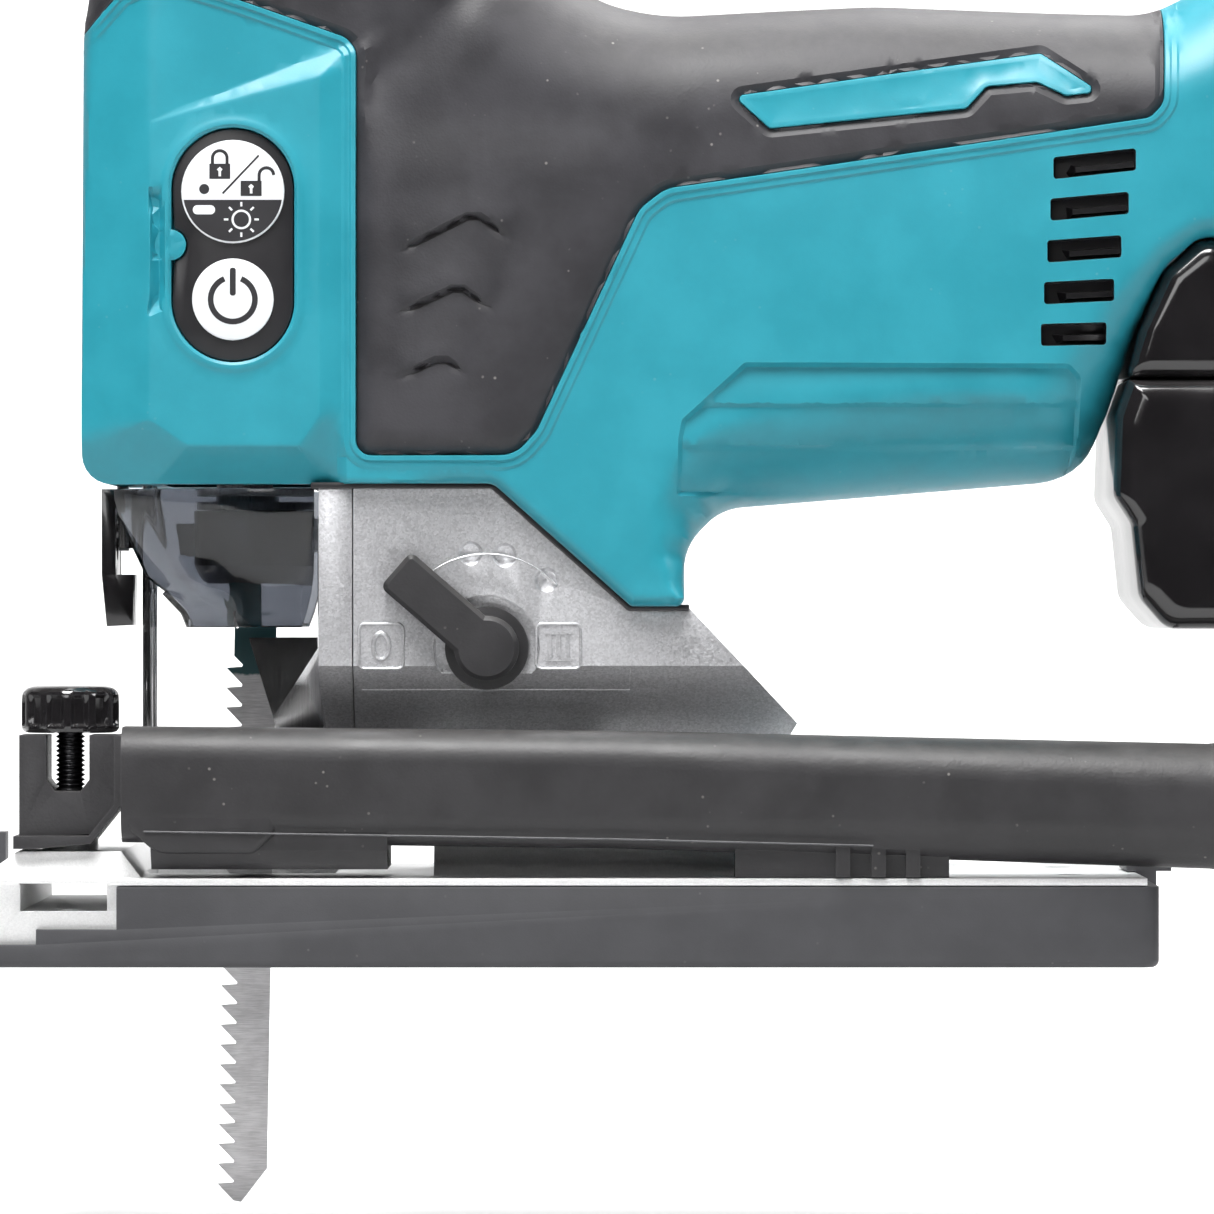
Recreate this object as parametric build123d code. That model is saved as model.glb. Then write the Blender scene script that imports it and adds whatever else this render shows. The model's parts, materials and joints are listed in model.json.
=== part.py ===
"""Cordless barrel-grip jigsaw, in millimetres.

Frame: the origin is the cutting point, where the blade's centre line crosses the plane of the
sole. +Z is up, -X is the cutting direction (the nose), +X runs back to the battery, and -Y is
the side that carries the dust nozzle. The body is symmetric about the plane y = 0.
"""
import os
from functools import cache
from math import acos, asin, atan2, cos, degrees, hypot, pi, radians, sin, sqrt, tan

from build123d import *

os.makedirs("parts", exist_ok=True)

# ---------------------------------------------------------------- driving dimensions
BODY_HALF = 30.0          # half width of the clamshell
WALL = 2.6                # wall of the clamshell
GRIP_SKIN = 2.0           # thickness of the soft grip skin
EDGE_BREAK = 5.0          # chamfer between the side faces and the outline
HEAD_BOTTOM = 76.0        # underside of the head above the sole
GEAR_HALF = 26.0          # half width of the aluminium gear housing
GEAR_FRONT = 12.8         # front face of the gear housing
COVER_JOINT = 18.2        # joint between the gear housing and its front cover

STROKE_UP = 17.0          # blade travel above the drawn position
STROKE_DOWN = 6.0         # blade travel below it
CRANK = (STROKE_UP + STROKE_DOWN) / 2

MODULE = 0.8
GEAR_TEETH = 45
PINION_TEETH = 12
PRESSURE_ANGLE = 25.0
BACKLASH = 0.10
CENTRE_DISTANCE = MODULE * (GEAR_TEETH + PINION_TEETH) / 2
MOTOR_Z = 97.0            # height of the motor shaft
CRANK_Z = MOTOR_Z + CENTRE_DISTANCE
STATOR_R = 19.0

BLADE_T = 1.2             # blade thickness
BLADE_BACK = 4.5          # back edge of the blade at the sole, before its rake
BLADE_RAKE = 1.0          # degrees that the blade leans
TOOTH_PITCH = 3.2
TIP_Z = -39.4

SOLE_T = 2.0              # sole thickness of the cover plate
BASE_TOP = 14.0
BASE_PLATE = 3.0
BASE_FRONT = -42.0
BASE_REAR = 145.0
BASE_HALF = 36.4          # aluminium side walls
LIP_HALF = 38.3           # top lip of the base, over the cover plate's wall
TILT_Z = 2.0              # height of the tilt axis above the sole
ARCH_R = 28.0             # outer radius of the tilt arch
ARCH_T = 3.5
ARCH_FRONT = 31.0
ARCH_REAR = 79.0
BOLT_X = 55.0             # base clamp bolt

SCREW_X = -26.2           # fence clamp screw
SCREW_Y = -29.0

# ---------------------------------------------------------------- drawing helpers


def push(plane, sketch, length):
    """A sketch on a plane, extruded along the plane's normal."""
    return extrude(plane * sketch, length, dir=plane.z_dir)


def along_y(points, low, high):
    """A polygon of (x, z) points, extruded from y = low to y = high."""
    return push(Plane.XZ.offset(-high), Polygon(*points), high - low)


def along_x(points, low, high):
    """A polygon of (y, z) points, extruded from x = low to x = high."""
    return push(Plane.YZ.offset(low), Polygon(*points), high - low)


def block(x0, x1, y0, y1, z0, z1):
    """An upright box from its limits on each axis."""
    return Pos((x0 + x1) / 2, (y0 + y1) / 2, (z0 + z1) / 2) * Box(x1 - x0, y1 - y0, z1 - z0)


def rod_x(radius, low, high, y=0.0, z=0.0):
    """A cylinder along X."""
    return push(Plane.YZ.offset(low), Pos(y, z) * Circle(radius), high - low)


def rod_y(radius, low, high, x=0.0, z=0.0):
    """A cylinder along Y."""
    return push(Plane.XZ.offset(-high), Pos(x, z) * Circle(radius), high - low)


def rod_z(radius, low, high, x=0.0, y=0.0):
    """A cylinder along Z."""
    return push(Plane.XY.offset(low), Pos(x, y) * Circle(radius), high - low)


def mirrored(shape):
    """The same shape on the other side of the plane y = 0."""
    return mirror(shape, Plane.XZ)


def inset(points, distance):
    """A polygon moved inwards by a distance, with its corners kept sharp."""
    count = len(points)
    area = sum(
        points[i][0] * points[(i + 1) % count][1] - points[(i + 1) % count][0] * points[i][1]
        for i in range(count)
    )
    side = 1 if area > 0 else -1
    moved = []
    for i in range(count):
        (ax, az), (bx, bz), (cx, cz) = points[i - 1], points[i], points[(i + 1) % count]
        first, second = hypot(bx - ax, bz - az), hypot(cx - bx, cz - bz)
        n1 = (-(bz - az) / first * side, (bx - ax) / first * side)
        n2 = (-(cz - bz) / second * side, (cx - bx) / second * side)
        scale = distance / (1 + n1[0] * n2[0] + n1[1] * n2[1])
        moved.append((bx + (n1[0] + n2[0]) * scale, bz + (n1[1] + n2[1]) * scale))
    return moved


def gear_outline(teeth, turn):
    """The (y, z) outline of an involute spur gear, turned by an angle in degrees."""
    alpha = radians(PRESSURE_ANGLE)
    pitch_r = MODULE * teeth / 2
    base_r = pitch_r * cos(alpha)
    tip_r = pitch_r + MODULE
    root_r = pitch_r - 1.25 * MODULE
    half_tooth = pi / (2 * teeth) - BACKLASH / (2 * pitch_r) + tan(alpha) - alpha
    flank = []
    for step in range(5):
        r = max(base_r, root_r) + (tip_r - max(base_r, root_r)) * step / 4
        roll = acos(base_r / r)
        flank.append((r, half_tooth - (tan(roll) - roll)))
    points = []
    for tooth in range(teeth):
        centre = 2 * pi * tooth / teeth + radians(turn)
        start = [(root_r, flank[0][1] + 0.01)] + flank
        for r, a in start:
            points.append((r * cos(centre - a), r * sin(centre - a)))
        for r, a in reversed(start):
            points.append((r * cos(centre + a), r * sin(centre + a)))
    return points


# ---------------------------------------------------------------- body outline, as (x, z)
FRONT_FACE = -24.8
HEAD_TOP = [
    (-24.8, 148), (-22.8, 161), (-17.5, 172), (-8, 180.5), (6, 185), (20, 183.5), (32, 177.5),
    (42, 168),
]
HANDLE_TOP = [(50, 158.5), (57, 153.2), (67, 150.8), (86, 151.8), (101, 152.5), (130, 151.4), (145, 151)]
TAIL = [(152, 154.5), (161, 159.5), (173, 162), (188, 160.5), (199, 155), (205.5, 145), (207, 130), (205, 115)]
BELLY = [(152, 115), (146.4, 110), (142, 100), (138.4, 88), (134, 77), (77, 72.4), (70.6, 66), (70.6, 56.6)]
BODY = [(FRONT_FACE, HEAD_BOTTOM)] + HEAD_TOP + HANDLE_TOP + TAIL + BELLY + [(62.2, 56.6), (40.4, HEAD_BOTTOM)]
# The soft grip's outline on the side of the body. It runs past the top of the body.
GRIP = [
    (19, 80.6), (43.8, 80.6), (47.2, 84.4), (63.4, 119.4), (67.6, 122.6), (144, 133.8), (146, 136),
    (146.6, 151.4), (146.6, 200), (-40, 200), (-40, 147), (-24.8, 147), (-18.6, 153.6), (-12, 156.2),
    (1, 152.2), (17.2, 146.6), (19, 144.6),
]
INLAY = [(78, 137.2), (127, 144.2), (136.6, 137.6), (130.8, 137), (126.2, 139.2), (118.4, 138.5), (115.2, 135), (84, 131.8)]


@cache
def body_half(depth):
    """The -Y half of the body, its skin moved inwards by a depth."""
    # A parallel skin keeps its distance across the bevel, so an inner skin's bevel is smaller.
    bevel = min(EDGE_BREAK - depth * (2 - sqrt(2)), EDGE_BREAK + 0.6 - depth)
    face = BODY_HALF - depth
    low, high = Plane.XZ.offset(face - bevel), Plane.XZ.offset(face)
    edge = loft([low * Polygon(*inset(BODY, depth)), high * Polygon(*inset(BODY, depth + bevel))], ruled=True)
    return along_y(inset(BODY, depth), bevel - face, 0) + edge


def grip_prism(grow=0.0):
    """Everything on the -Y side that lies within the soft grip's outline."""
    region = along_y(inset(GRIP, -grow) if grow else GRIP, -60, 0)
    return region - along_y(inset(INLAY, grow) if grow else INLAY, -60, -15)


PANEL_X, PANEL_Z = -0.6, 113.6
PANEL_R, PANEL_HALF = 9.6, 8.8   # end radius, and half the distance between the end centres
LOCK_Z, POWER_Z = 122.0, 105.0
LOCK_R, POWER_R = 8.2, 6.5
VENT_TOP_Z, VENT_STEP = 126.4, 6.72
DIAL_X, DIAL_Z, DIAL_R = 176.0, 153.4, 11.0
DOCK_NECK, DOCK_HEAD = 14.6, 18.6
GUARD_X = -15.3


def stadium(radius, half, low, high):
    """A slot shape round the button panel's centre, from y = low to y = high."""
    body = block(PANEL_X - radius, PANEL_X + radius, low, high, PANEL_Z - half, PANEL_Z + half)
    for side in (-1, 1):
        body += rod_y(radius, low, high, PANEL_X, PANEL_Z + side * half)
    return body


def vent_slots():
    """The five air slots behind the motor, each a little shorter than the one above it."""
    slots = []
    for row in range(5):
        z = VENT_TOP_Z - row * VENT_STEP
        left = 128.8 - row * 0.5
        right = left + 13.0 - row * 0.65
        lean = 1.4 - row * 0.28
        slots.append(along_y([(left, z - 1.7 - lean / 2), (right, z - 1.7 + lean / 2),
                              (right, z + 1.7 + lean / 2), (left, z + 1.7 - lean / 2)], -40, -5))
    return slots


def housing_half():
    """The -Y clamshell half, with the recess for the soft grip and every opening in it."""
    shell = body_half(0) - body_half(WALL)
    shell -= grip_prism() & (body_half(0) - body_half(GRIP_SKIN))
    shell += grip_prism(-0.4) & (body_half(GRIP_SKIN) - body_half(GRIP_SKIN + 1.8))
    # the plane that the gear housing comes up through, and the plunger's opening in the head
    shell -= along_y([(11, HEAD_BOTTOM - 8), (42, HEAD_BOTTOM - 8), (62.4, 56), (62.4, 62), (44, 78.8), (11, 78.8)], -24, 5)
    shell -= rod_z(12.0, 70, 82)
    shell -= rod_z(0.86, 70, 79, GUARD_X, -6.4)
    shell -= stadium(PANEL_R + 0.2, PANEL_HALF, -40, -20)
    for slot in vent_slots():
        shell -= slot
    # battery dock: a T slot that is open at the back
    shell -= block(150.5, 212, -DOCK_NECK, 1, 110, 118.6)
    shell += block(150.5, 204, -26, 0, 117.6, 125) & body_half(1.0)
    shell -= block(152.6, 212, -DOCK_HEAD, 1, 118.4, 122.6)
    shell -= block(152.6, 212, -DOCK_NECK, 1, 110, 122.6)
    shell -= block(146.6, 153, -13.8, 1, 115.2, 122.6)
    # thumbwheel slot in the top of the tail
    shell -= block(DIAL_X - DIAL_R - 1, DIAL_X + DIAL_R + 1, -4.2, 1, DIAL_Z - DIAL_R - 0.6, 175)
    shell += rod_y(2.0, -BODY_HALF, 0, DIAL_X, DIAL_Z) & body_half(1.0)
    # lamp window in the nose
    shell -= block(-27, -19, -6.2, 1, 81, 88.4)
    # raised stop on the nose
    shell += block(-26.4, -23, -5, 0, 97, 107)
    return shell


def housing_bosses(side):
    """Screw bosses inside one half, standing on the parting plane. side is -1 or 1."""
    posts = []
    for x, z in SCREWS:
        post = rod_y(4.4, -BODY_HALF, 0, x, z) & body_half(GRIP_SKIN + 0.1)
        posts.append(post if side < 0 else mirrored(post))
    return posts


SCREWS = [(33, 167.5), (-15.6, 158), (106, 139), (157, 149), (196, 136), (73, 135), (-17.2, 96.5), (64.4, 64.4)]


# ---------------------------------------------------------------- the parts
def housing_nodes():
    """Clamshell halves, soft grips, screws, button panels and buttons."""
    half = housing_half()
    left, right = half, mirrored(half)
    for post in housing_bosses(-1):
        left = left + post
    for post in housing_bosses(1):
        right = right + post
    screws = []
    for x, z in SCREWS:
        left -= rod_y(1.3, -12, 1, x, z)
        right -= rod_y(1.7, -1, 40, x, z) + rod_y(3.2, 17.4, 40, x, z)
        screw = rod_y(3.0, 17.4, 19.8, x, z) + rod_y(1.28, -11.5, 17.4, x, z)
        screw -= Pos(x, 19.8, z) * Rot(90, 0, 0) * extrude(RegularPolygon(1.2, 6), 1.4, both=True)
        screws.append(screw)
    grip = grip_prism(-0.06) & (body_half(0) - body_half(GRIP_SKIN - 0.05))
    right -= rod_z(1.0, 70, 79, -20.0, 6.0)
    grip_right = mirrored(grip)
    for x, z in SCREWS:
        grip_right -= rod_y(3.3, 17, 40, x, z)
    nodes = {
        "housing_left": left,
        "housing_right": right,
        "grip_left": grip,
        "grip_right": grip_right,
        "housing_screws": Compound(screws),
    }
    panel = stadium(PANEL_R, PANEL_HALF, -BODY_HALF + 0.5, -BODY_HALF + 3.0)
    panel -= rod_y(LOCK_R, -40, -20, PANEL_X, LOCK_Z)
    panel -= rod_y(POWER_R, -40, -20, PANEL_X, POWER_Z)
    panel += stadium(PANEL_R + 1.6, PANEL_HALF, -BODY_HALF + 3.0, -BODY_HALF + 4.2) - (
        rod_y(LOCK_R - 1.6, -40, -20, PANEL_X, LOCK_Z) + rod_y(POWER_R - 1.6, -40, -20, PANEL_X, POWER_Z))
    lock = rod_y(LOCK_R - 0.3, -BODY_HALF + 0.3, -BODY_HALF + 1.7, PANEL_X, LOCK_Z)
    lock += rod_y(LOCK_R - 2.6, -BODY_HALF + 1.7, -BODY_HALF + 4.6, PANEL_X, LOCK_Z)
    power = rod_y(POWER_R - 0.3, -BODY_HALF + 0.3, -BODY_HALF + 1.7, PANEL_X, POWER_Z)
    power += rod_y(POWER_R - 2.6, -BODY_HALF + 1.7, -BODY_HALF + 4.6, PANEL_X, POWER_Z)
    board = block(PANEL_X - 7, PANEL_X + 7, -22.6, -21.2, PANEL_Z - 17, PANEL_Z + 17)
    for z in (LOCK_Z, POWER_Z):
        board += block(PANEL_X - 2.4, PANEL_X + 2.4, -24.2, -22.6, z - 2.4, z + 2.4)
    for side, flip in (("left", lambda s: s), ("right", mirrored)):
        nodes["button_panel_" + side] = flip(panel)
        nodes["lock_button_" + side] = flip(lock)
        nodes["power_button_" + side] = flip(power)
    lamp = block(-20.6, -19.4, -7, 7, 79.6, 88.8)
    for y in (-3, 3):
        lamp += rod_x(1.4, -20.7, -19.5, y, 84.6)
    nodes["circuit_boards"] = Compound([board, mirrored(board), lamp])
    return nodes


def lamp_nodes():
    """The clear lens of the work lamp in the nose."""
    return {"lamp_lens": block(-25.0, -22.0, -6, 6, 81.2, 88.2) + block(-22.1, -20.8, -8, 8, 79.9, 89.6)}


def dial_nodes():
    """Thumbwheel for the speed."""
    wheel = rod_y(DIAL_R, -3.2, 3.2, DIAL_X, DIAL_Z) - rod_y(2.05, -9, 9, DIAL_X, DIAL_Z)
    for k in range(24):
        a = 2 * pi * k / 24
        wheel -= rod_y(0.6, -9, 9, DIAL_X + DIAL_R * cos(a), DIAL_Z + DIAL_R * sin(a))
    return {"speed_dial": wheel}


def gear_housing_nodes():
    """The die-cast gear housing, its front cover and the orbit lever on its side."""
    side = [(COVER_JOINT + 0.1, 75.6), (40.0, 75.6), (61.8, 56.2), (71.5, 56.2), (88.7, 38), (84, 30), (COVER_JOINT + 0.1, 30)]
    foot_r = ARCH_R + 0.2
    foot_half = 9.4
    low = TILT_Z + sqrt(foot_r**2 - foot_half**2)
    slope = 21.2
    section = [(-GEAR_HALF, 80), (-GEAR_HALF, GEAR_HALF + slope), (-foot_half, foot_half + slope), (-foot_half, low),
               (foot_half, low), (foot_half, foot_half + slope), (GEAR_HALF, GEAR_HALF + slope), (GEAR_HALF, 80)]
    lower = along_y(side, -GEAR_HALF, GEAR_HALF) & along_x(section, 0, 120)
    lower -= rod_x(foot_r, 0, 120, 0, TILT_Z)
    inside = [(COVER_JOINT - 2, 72.6), (39, 72.6), (60, 54.4), (66, 52), (60, 45), (COVER_JOINT - 2, 45)]
    lower -= along_y(inside, -GEAR_HALF + 4, GEAR_HALF - 4)
    # T slot for the base clamp's nut, open to the front of the foot
    lower -= block(BOLT_X - 14.5, BOLT_X + 14.5, -3.4, 3.4, 20, 37.2)
    lower -= block(BOLT_X - 17.5, BOLT_X + 17.5, -5.4, 5.4, 34.0, 38.4)
    lower -= block(BOLT_X + 14.4, BOLT_X + 17.5, -5.4, 5.4, 20, 38.4)
    # upper frame: bearing wall between the gear and the motor
    upper = along_x([(-22, 73), (22, 73), (22, 130), (13, 141), (-13, 141), (-22, 130)], 36.4, 43.2)
    upper += block(24, 36.5, -22, -18.8, 73, 84) + block(24, 36.5, 18.8, 22, 73, 84)
    housing = lower + upper
    housing -= rod_x(6.55, 30, 41.6, 0, MOTOR_Z) + rod_x(5.0, 30, 50, 0, MOTOR_Z)
    housing -= rod_x(3.0, 30, 42, 0, CRANK_Z)
    # lever shaft bore and the sunken ring round it
    housing -= rod_y(2.55, -40, -10, LEVER_X, LEVER_Z)
    housing -= rod_y(8.2, -GEAR_HALF - 1, -GEAR_HALF + 1.2, LEVER_X, LEVER_Z)

    cover_side = [(GEAR_FRONT, 75.6), (COVER_JOINT - 0.1, 75.6), (COVER_JOINT - 0.1, 30.2), (GEAR_FRONT + 1.6, 32), (GEAR_FRONT, 44)]
    cover = along_y(cover_side, -GEAR_HALF, GEAR_HALF) & along_x(section, 0, 120)
    cover -= block(GEAR_FRONT - 1, GEAR_FRONT + 2.2, -11.2, 11.2, 47, 80)
    cover -= block(GEAR_FRONT - 1, GEAR_FRONT + 2.2, -5.8, 5.8, 29, 48)
    cover -= block(GEAR_FRONT - 1, GEAR_FRONT + 3.8, -5.8, 5.8, 29, 38)
    for side in (-1, 1):
        cover += block(10.0, GEAR_FRONT + 0.5, side * 12.4 - 1.2, side * 12.4 + 1.2, 65.4, 70.6)
    cover -= rod_y(1.0, -20, 20, PIVOT_X, RETAINER_PIVOT_Z)
    cover += block(GEAR_FRONT + 2.2, COVER_JOINT - 0.1, -22, 22, 75, 92)
    cover += block(GEAR_FRONT + 2.2, COVER_JOINT - 0.1, -22, -17.4, 92, 150)
    cover += block(GEAR_FRONT + 2.2, COVER_JOINT - 0.1, 17.4, 22, 92, 150)
    cover += block(GEAR_FRONT + 2.2, COVER_JOINT - 0.1, -22, 22, 141, 150)
    # lugs that carry the swing frame's trunnions
    for side in (-1, 1):
        cover += block(-4.5, 15.2, side * 10.8 - 1.8, side * 10.8 + 1.8, SWING_PIVOT_Z - 4.5, SWING_PIVOT_Z + 4.5)
        cover += block(GEAR_FRONT + 2.2, COVER_JOINT - 0.1, side * 14 - 5, side * 14 + 5, 141, SWING_PIVOT_Z + 4.5)
    cover -= rod_y(2.44, -20, 20, 0, SWING_PIVOT_Z)
    bolts = []
    for y in (-19.6, 19.6):
        for z in (88, 146):
            cover -= rod_x(2.1, 0, 40, y, z)
            bolts.append(rod_x(2.0, 11.6, 24, y, z) + rod_x(3.4, 11.6, 14.98, y, z) - rod_x(1.4, 11, 13, y, z))
    stop = rod_x(3.4, GEAR_FRONT - 1.4, GEAR_FRONT - 0.02, 13.0, 42.6 + 3.2)
    stop = fillet(stop.edges().sort_by(Axis.X)[0], 0.9)
    return {"gear_housing": housing, "gear_housing_cover": cover, "gear_cover_bolts": Compound(bolts),
            "retainer_stop": stop}


LEVER_X, LEVER_Z = 39.4, 50.0
LEVER_LENGTH, LEVER_ANGLE = 19.0, 139.0


def orbit_lever_nodes():
    """The orbit lever with its detent ball seat, and the cam shaft behind it."""
    face = -GEAR_HALF - 4.6
    arm = Pos(LEVER_LENGTH / 2 - 0.6, 0) * RectangleRounded(LEVER_LENGTH + 1.2, 7.4, 1.2)
    outline = Rot(0, 0, LEVER_ANGLE) * (Circle(5.1) + arm)
    lever = push(Plane.XZ.offset(GEAR_HALF + 0.3), Pos(LEVER_X, LEVER_Z) * outline, 4.3)
    lever = chamfer(lever.faces().sort_by(Axis.Y)[0].edges(), 0.7)
    lever += rod_y(6.6, -GEAR_HALF - 0.6, -GEAR_HALF + 1.0, LEVER_X, LEVER_Z)
    lever -= rod_y(1.6, face + 1.4, 0, LEVER_X, LEVER_Z)
    shaft = rod_y(2.5, -GEAR_HALF + 1.0, -9, LEVER_X, LEVER_Z) + rod_y(1.55, face + 1.6, -GEAR_HALF + 1.1, LEVER_X, LEVER_Z)
    cam = rod_y(5.0, -15, -9, LEVER_X, LEVER_Z) - block(LEVER_X - 6, LEVER_X - 3.2, -16, -8, LEVER_Z - 6, LEVER_Z + 6)
    return {"orbit_lever": lever, "orbit_cam": shaft + cam}


def motor_nodes():
    """Brushless motor: stator, rotor with shaft and pinion, fan and bearings."""
    stator = rod_x(STATOR_R, 62, 92, 0, MOTOR_Z) - rod_x(10.4, 60, 94, 0, MOTOR_Z)
    for k in range(6):
        a = 2 * pi * k / 6 + pi / 6
        slot = rod_x(2.6, 60, 94, 13.6 * cos(a), MOTOR_Z + 13.6 * sin(a))
        stator -= slot
    coils = []
    for k in range(6):
        a = 2 * pi * k / 6
        coil = block(58.4, 61.9, 11.2, 16.8, -3.6, 3.6) + block(92.1, 95.6, 11.2, 16.8, -3.6, 3.6)
        coils.append(Pos(0, 0, MOTOR_Z) * Rot(degrees(a), 0, 0) * coil)
    rotor = rod_x(9.9, 63, 91, 0, MOTOR_Z) + rod_x(2.5, 22.4, 108, 0, MOTOR_Z)
    pinion = push(Plane.YZ.offset(25.0), Pos(0, MOTOR_Z) * Polygon(*gear_outline(PINION_TEETH, 90 + 180 / PINION_TEETH)), 10.0)
    pinion -= rod_x(2.5, 20, 40, 0, MOTOR_Z)
    fan = rod_x(17.0, 53.6, 55.0, 0, MOTOR_Z) + rod_x(4.6, 47.0, 55.0, 0, MOTOR_Z)
    for k in range(11):
        blade = block(47.6, 53.7, 4.2, 16.4, -0.5, 0.5)
        fan += Pos(0, 0, MOTOR_Z) * Rot(360 * k / 11, 0, 0) * blade
    fan -= rod_x(2.5, 40, 60, 0, MOTOR_Z)
    bearings = []
    for low, outer in ((36.5, 6.5), (101.0, 6.5)):
        bearings.append(rod_x(outer, low, low + 5, 0, MOTOR_Z) - rod_x(2.53, low - 1, low + 6, 0, MOTOR_Z))
    seat = along_x([(-15, MOTOR_Z - 13), (15, MOTOR_Z - 13), (15, MOTOR_Z + 13), (-15, MOTOR_Z + 13)], 100.9, 108.6)
    seat -= rod_x(6.5, 100, 106.0, 0, MOTOR_Z) + rod_x(3.4, 100, 112, 0, MOTOR_Z)
    return {"motor_stator": Compound([stator, *coils]), "motor_rotor": rotor, "motor_pinion": pinion,
            "motor_fan": fan, "motor_bearings": Compound(bearings), "motor_rear_bracket": seat}


def crank_nodes():
    """The crank gear on its fixed axle, with the crank pin and its needle roller."""
    gear = push(Plane.YZ.offset(26.0), Pos(0, CRANK_Z) * Polygon(*gear_outline(GEAR_TEETH, -90)), 8.0)
    gear += rod_x(7.0, 24.0, 35.2, 0, CRANK_Z)
    lift = -(STROKE_UP - CRANK)
    pin_y = sqrt(CRANK**2 - lift**2)
    gear += rod_x(4.6, 21.6, 26.2, pin_y, CRANK_Z + lift)
    gear -= rod_x(3.04, 10, 40, 0, CRANK_Z)
    gear -= rod_x(5.2, 25, 27, -pin_y, CRANK_Z - lift)
    gear += rod_x(2.0, 13.6, 21.8, pin_y, CRANK_Z + lift)
    roller = rod_x(4.4, 14.0, 21.4, pin_y, CRANK_Z + lift) - rod_x(2.04, 10, 30, pin_y, CRANK_Z + lift)
    axle = rod_x(2.99, 24.2, 41.9, 0, CRANK_Z)
    return {"crank_gear": gear, "crank_roller": roller, "crank_axle": axle}


RETAINER_PIVOT_Z, PIVOT_X = 68.0, 12.6
SWING_PIVOT_Z = 153.0
ROLLER_Z, ROLLER_R, GROOVE_R = 30.0, 5.6, 4.4
ROLLER_X = BLADE_BACK + 0.55 + GROOVE_R + 0.15
CLAMP_LOW, CLAMP_HIGH = 60.4, 72.0


def plunger_nodes():
    """The plunger with its yoke, the swing frame that guides it and the quick clamp."""
    plunger = rod_z(4.5, 73.0, 160.0)
    plunger += block(2.6, 11.6, -18.6, 18.6, CRANK_Z - 5.5 - 8.6, CRANK_Z - 5.5 + 8.6)
    plunger -= block(4.6, 12.6, -16.1, 16.1, CRANK_Z - 5.5 - 4.6, CRANK_Z - 5.5 + 4.6)
    plunger += rod_z(3.0, 63.0, 73.1)
    plunger -= block(-3.2, 3.2, -0.75, 0.75, 50, 71.2)

    frame = block(-7.4, 7.4, -7.4, 7.4, 147, 158) + block(-7.4, 7.4, -7.4, 7.4, 91.6, 98.8)
    frame += block(-9.6, -7.2, -7.4, 7.4, 91.6, 158)
    frame += rod_y(2.4, -13, 13, 0, SWING_PIVOT_Z)
    frame -= rod_z(6.0, 80, 170)
    bushes = []
    for low, high in ((147, 158), (91.6, 98.8)):
        bushes.append(rod_z(5.98, low, high) - rod_z(4.53, low - 1, high + 1))
    # the sleeve's lower end tapers, so that it clears the dust cover at the bottom of the stroke
    sleeve = rod_z(8.0, CLAMP_LOW + 2.8, CLAMP_HIGH) + Pos(0, 0, CLAMP_LOW + 1.4) * Cone(6.7, 8.0, 2.8)
    sleeve -= rod_z(6.05, 50, 80)
    sleeve += block(-10.8, -7.4, -2.0, 2.0, CLAMP_LOW + 4.2, CLAMP_HIGH - 2)
    core = rod_z(6.0, CLAMP_LOW, CLAMP_HIGH + 0.2) - rod_z(3.03, 50, 80) - block(-4.6, 4.6, -0.8, 0.8, 50, 70.5)
    cap = rod_z(7.6, CLAMP_HIGH + 0.15, CLAMP_HIGH + 1.4) - rod_z(3.03, 50, 80) - rod_z(4.55, 73.0, 80)
    return {"plunger": plunger, "swing_frame": frame, "plunger_bushes": Compound(bushes),
            "blade_clamp_sleeve": sleeve, "blade_clamp_core": core + cap}


def rake(shape):
    """Leans a shape forwards about the cutting point, as the blade is set."""
    return Rot(0, BLADE_RAKE, 0) * shape


def blade_node():
    """Wood blade with ground teeth that cut on the up stroke, and a T shank."""
    back, gullet, tip = BLADE_BACK - 0.35, -1.15, -3.75
    outline = [(back, 56), (back, TIP_Z + 5.4), (0.1, TIP_Z), (gullet, TIP_Z + 0.2)]
    teeth = 27
    first = TIP_Z + 0.2
    for k in range(teeth):
        z = first + k * TOOTH_PITCH
        outline += [(tip, z + TOOTH_PITCH - 0.55), (gullet - 0.1, z + TOOTH_PITCH - 0.35), (gullet, z + TOOTH_PITCH)]
    top = first + teeth * TOOTH_PITCH
    outline += [(gullet - 1.4, top + 1.4), (gullet - 1.4, 56)]
    blade = along_y(outline, -BLADE_T / 2, BLADE_T / 2)
    shank = block(-2.4, 2.6, -BLADE_T / 2, BLADE_T / 2, 55.5, 69.4)
    return {"blade": rake(blade) + shank}


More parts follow.
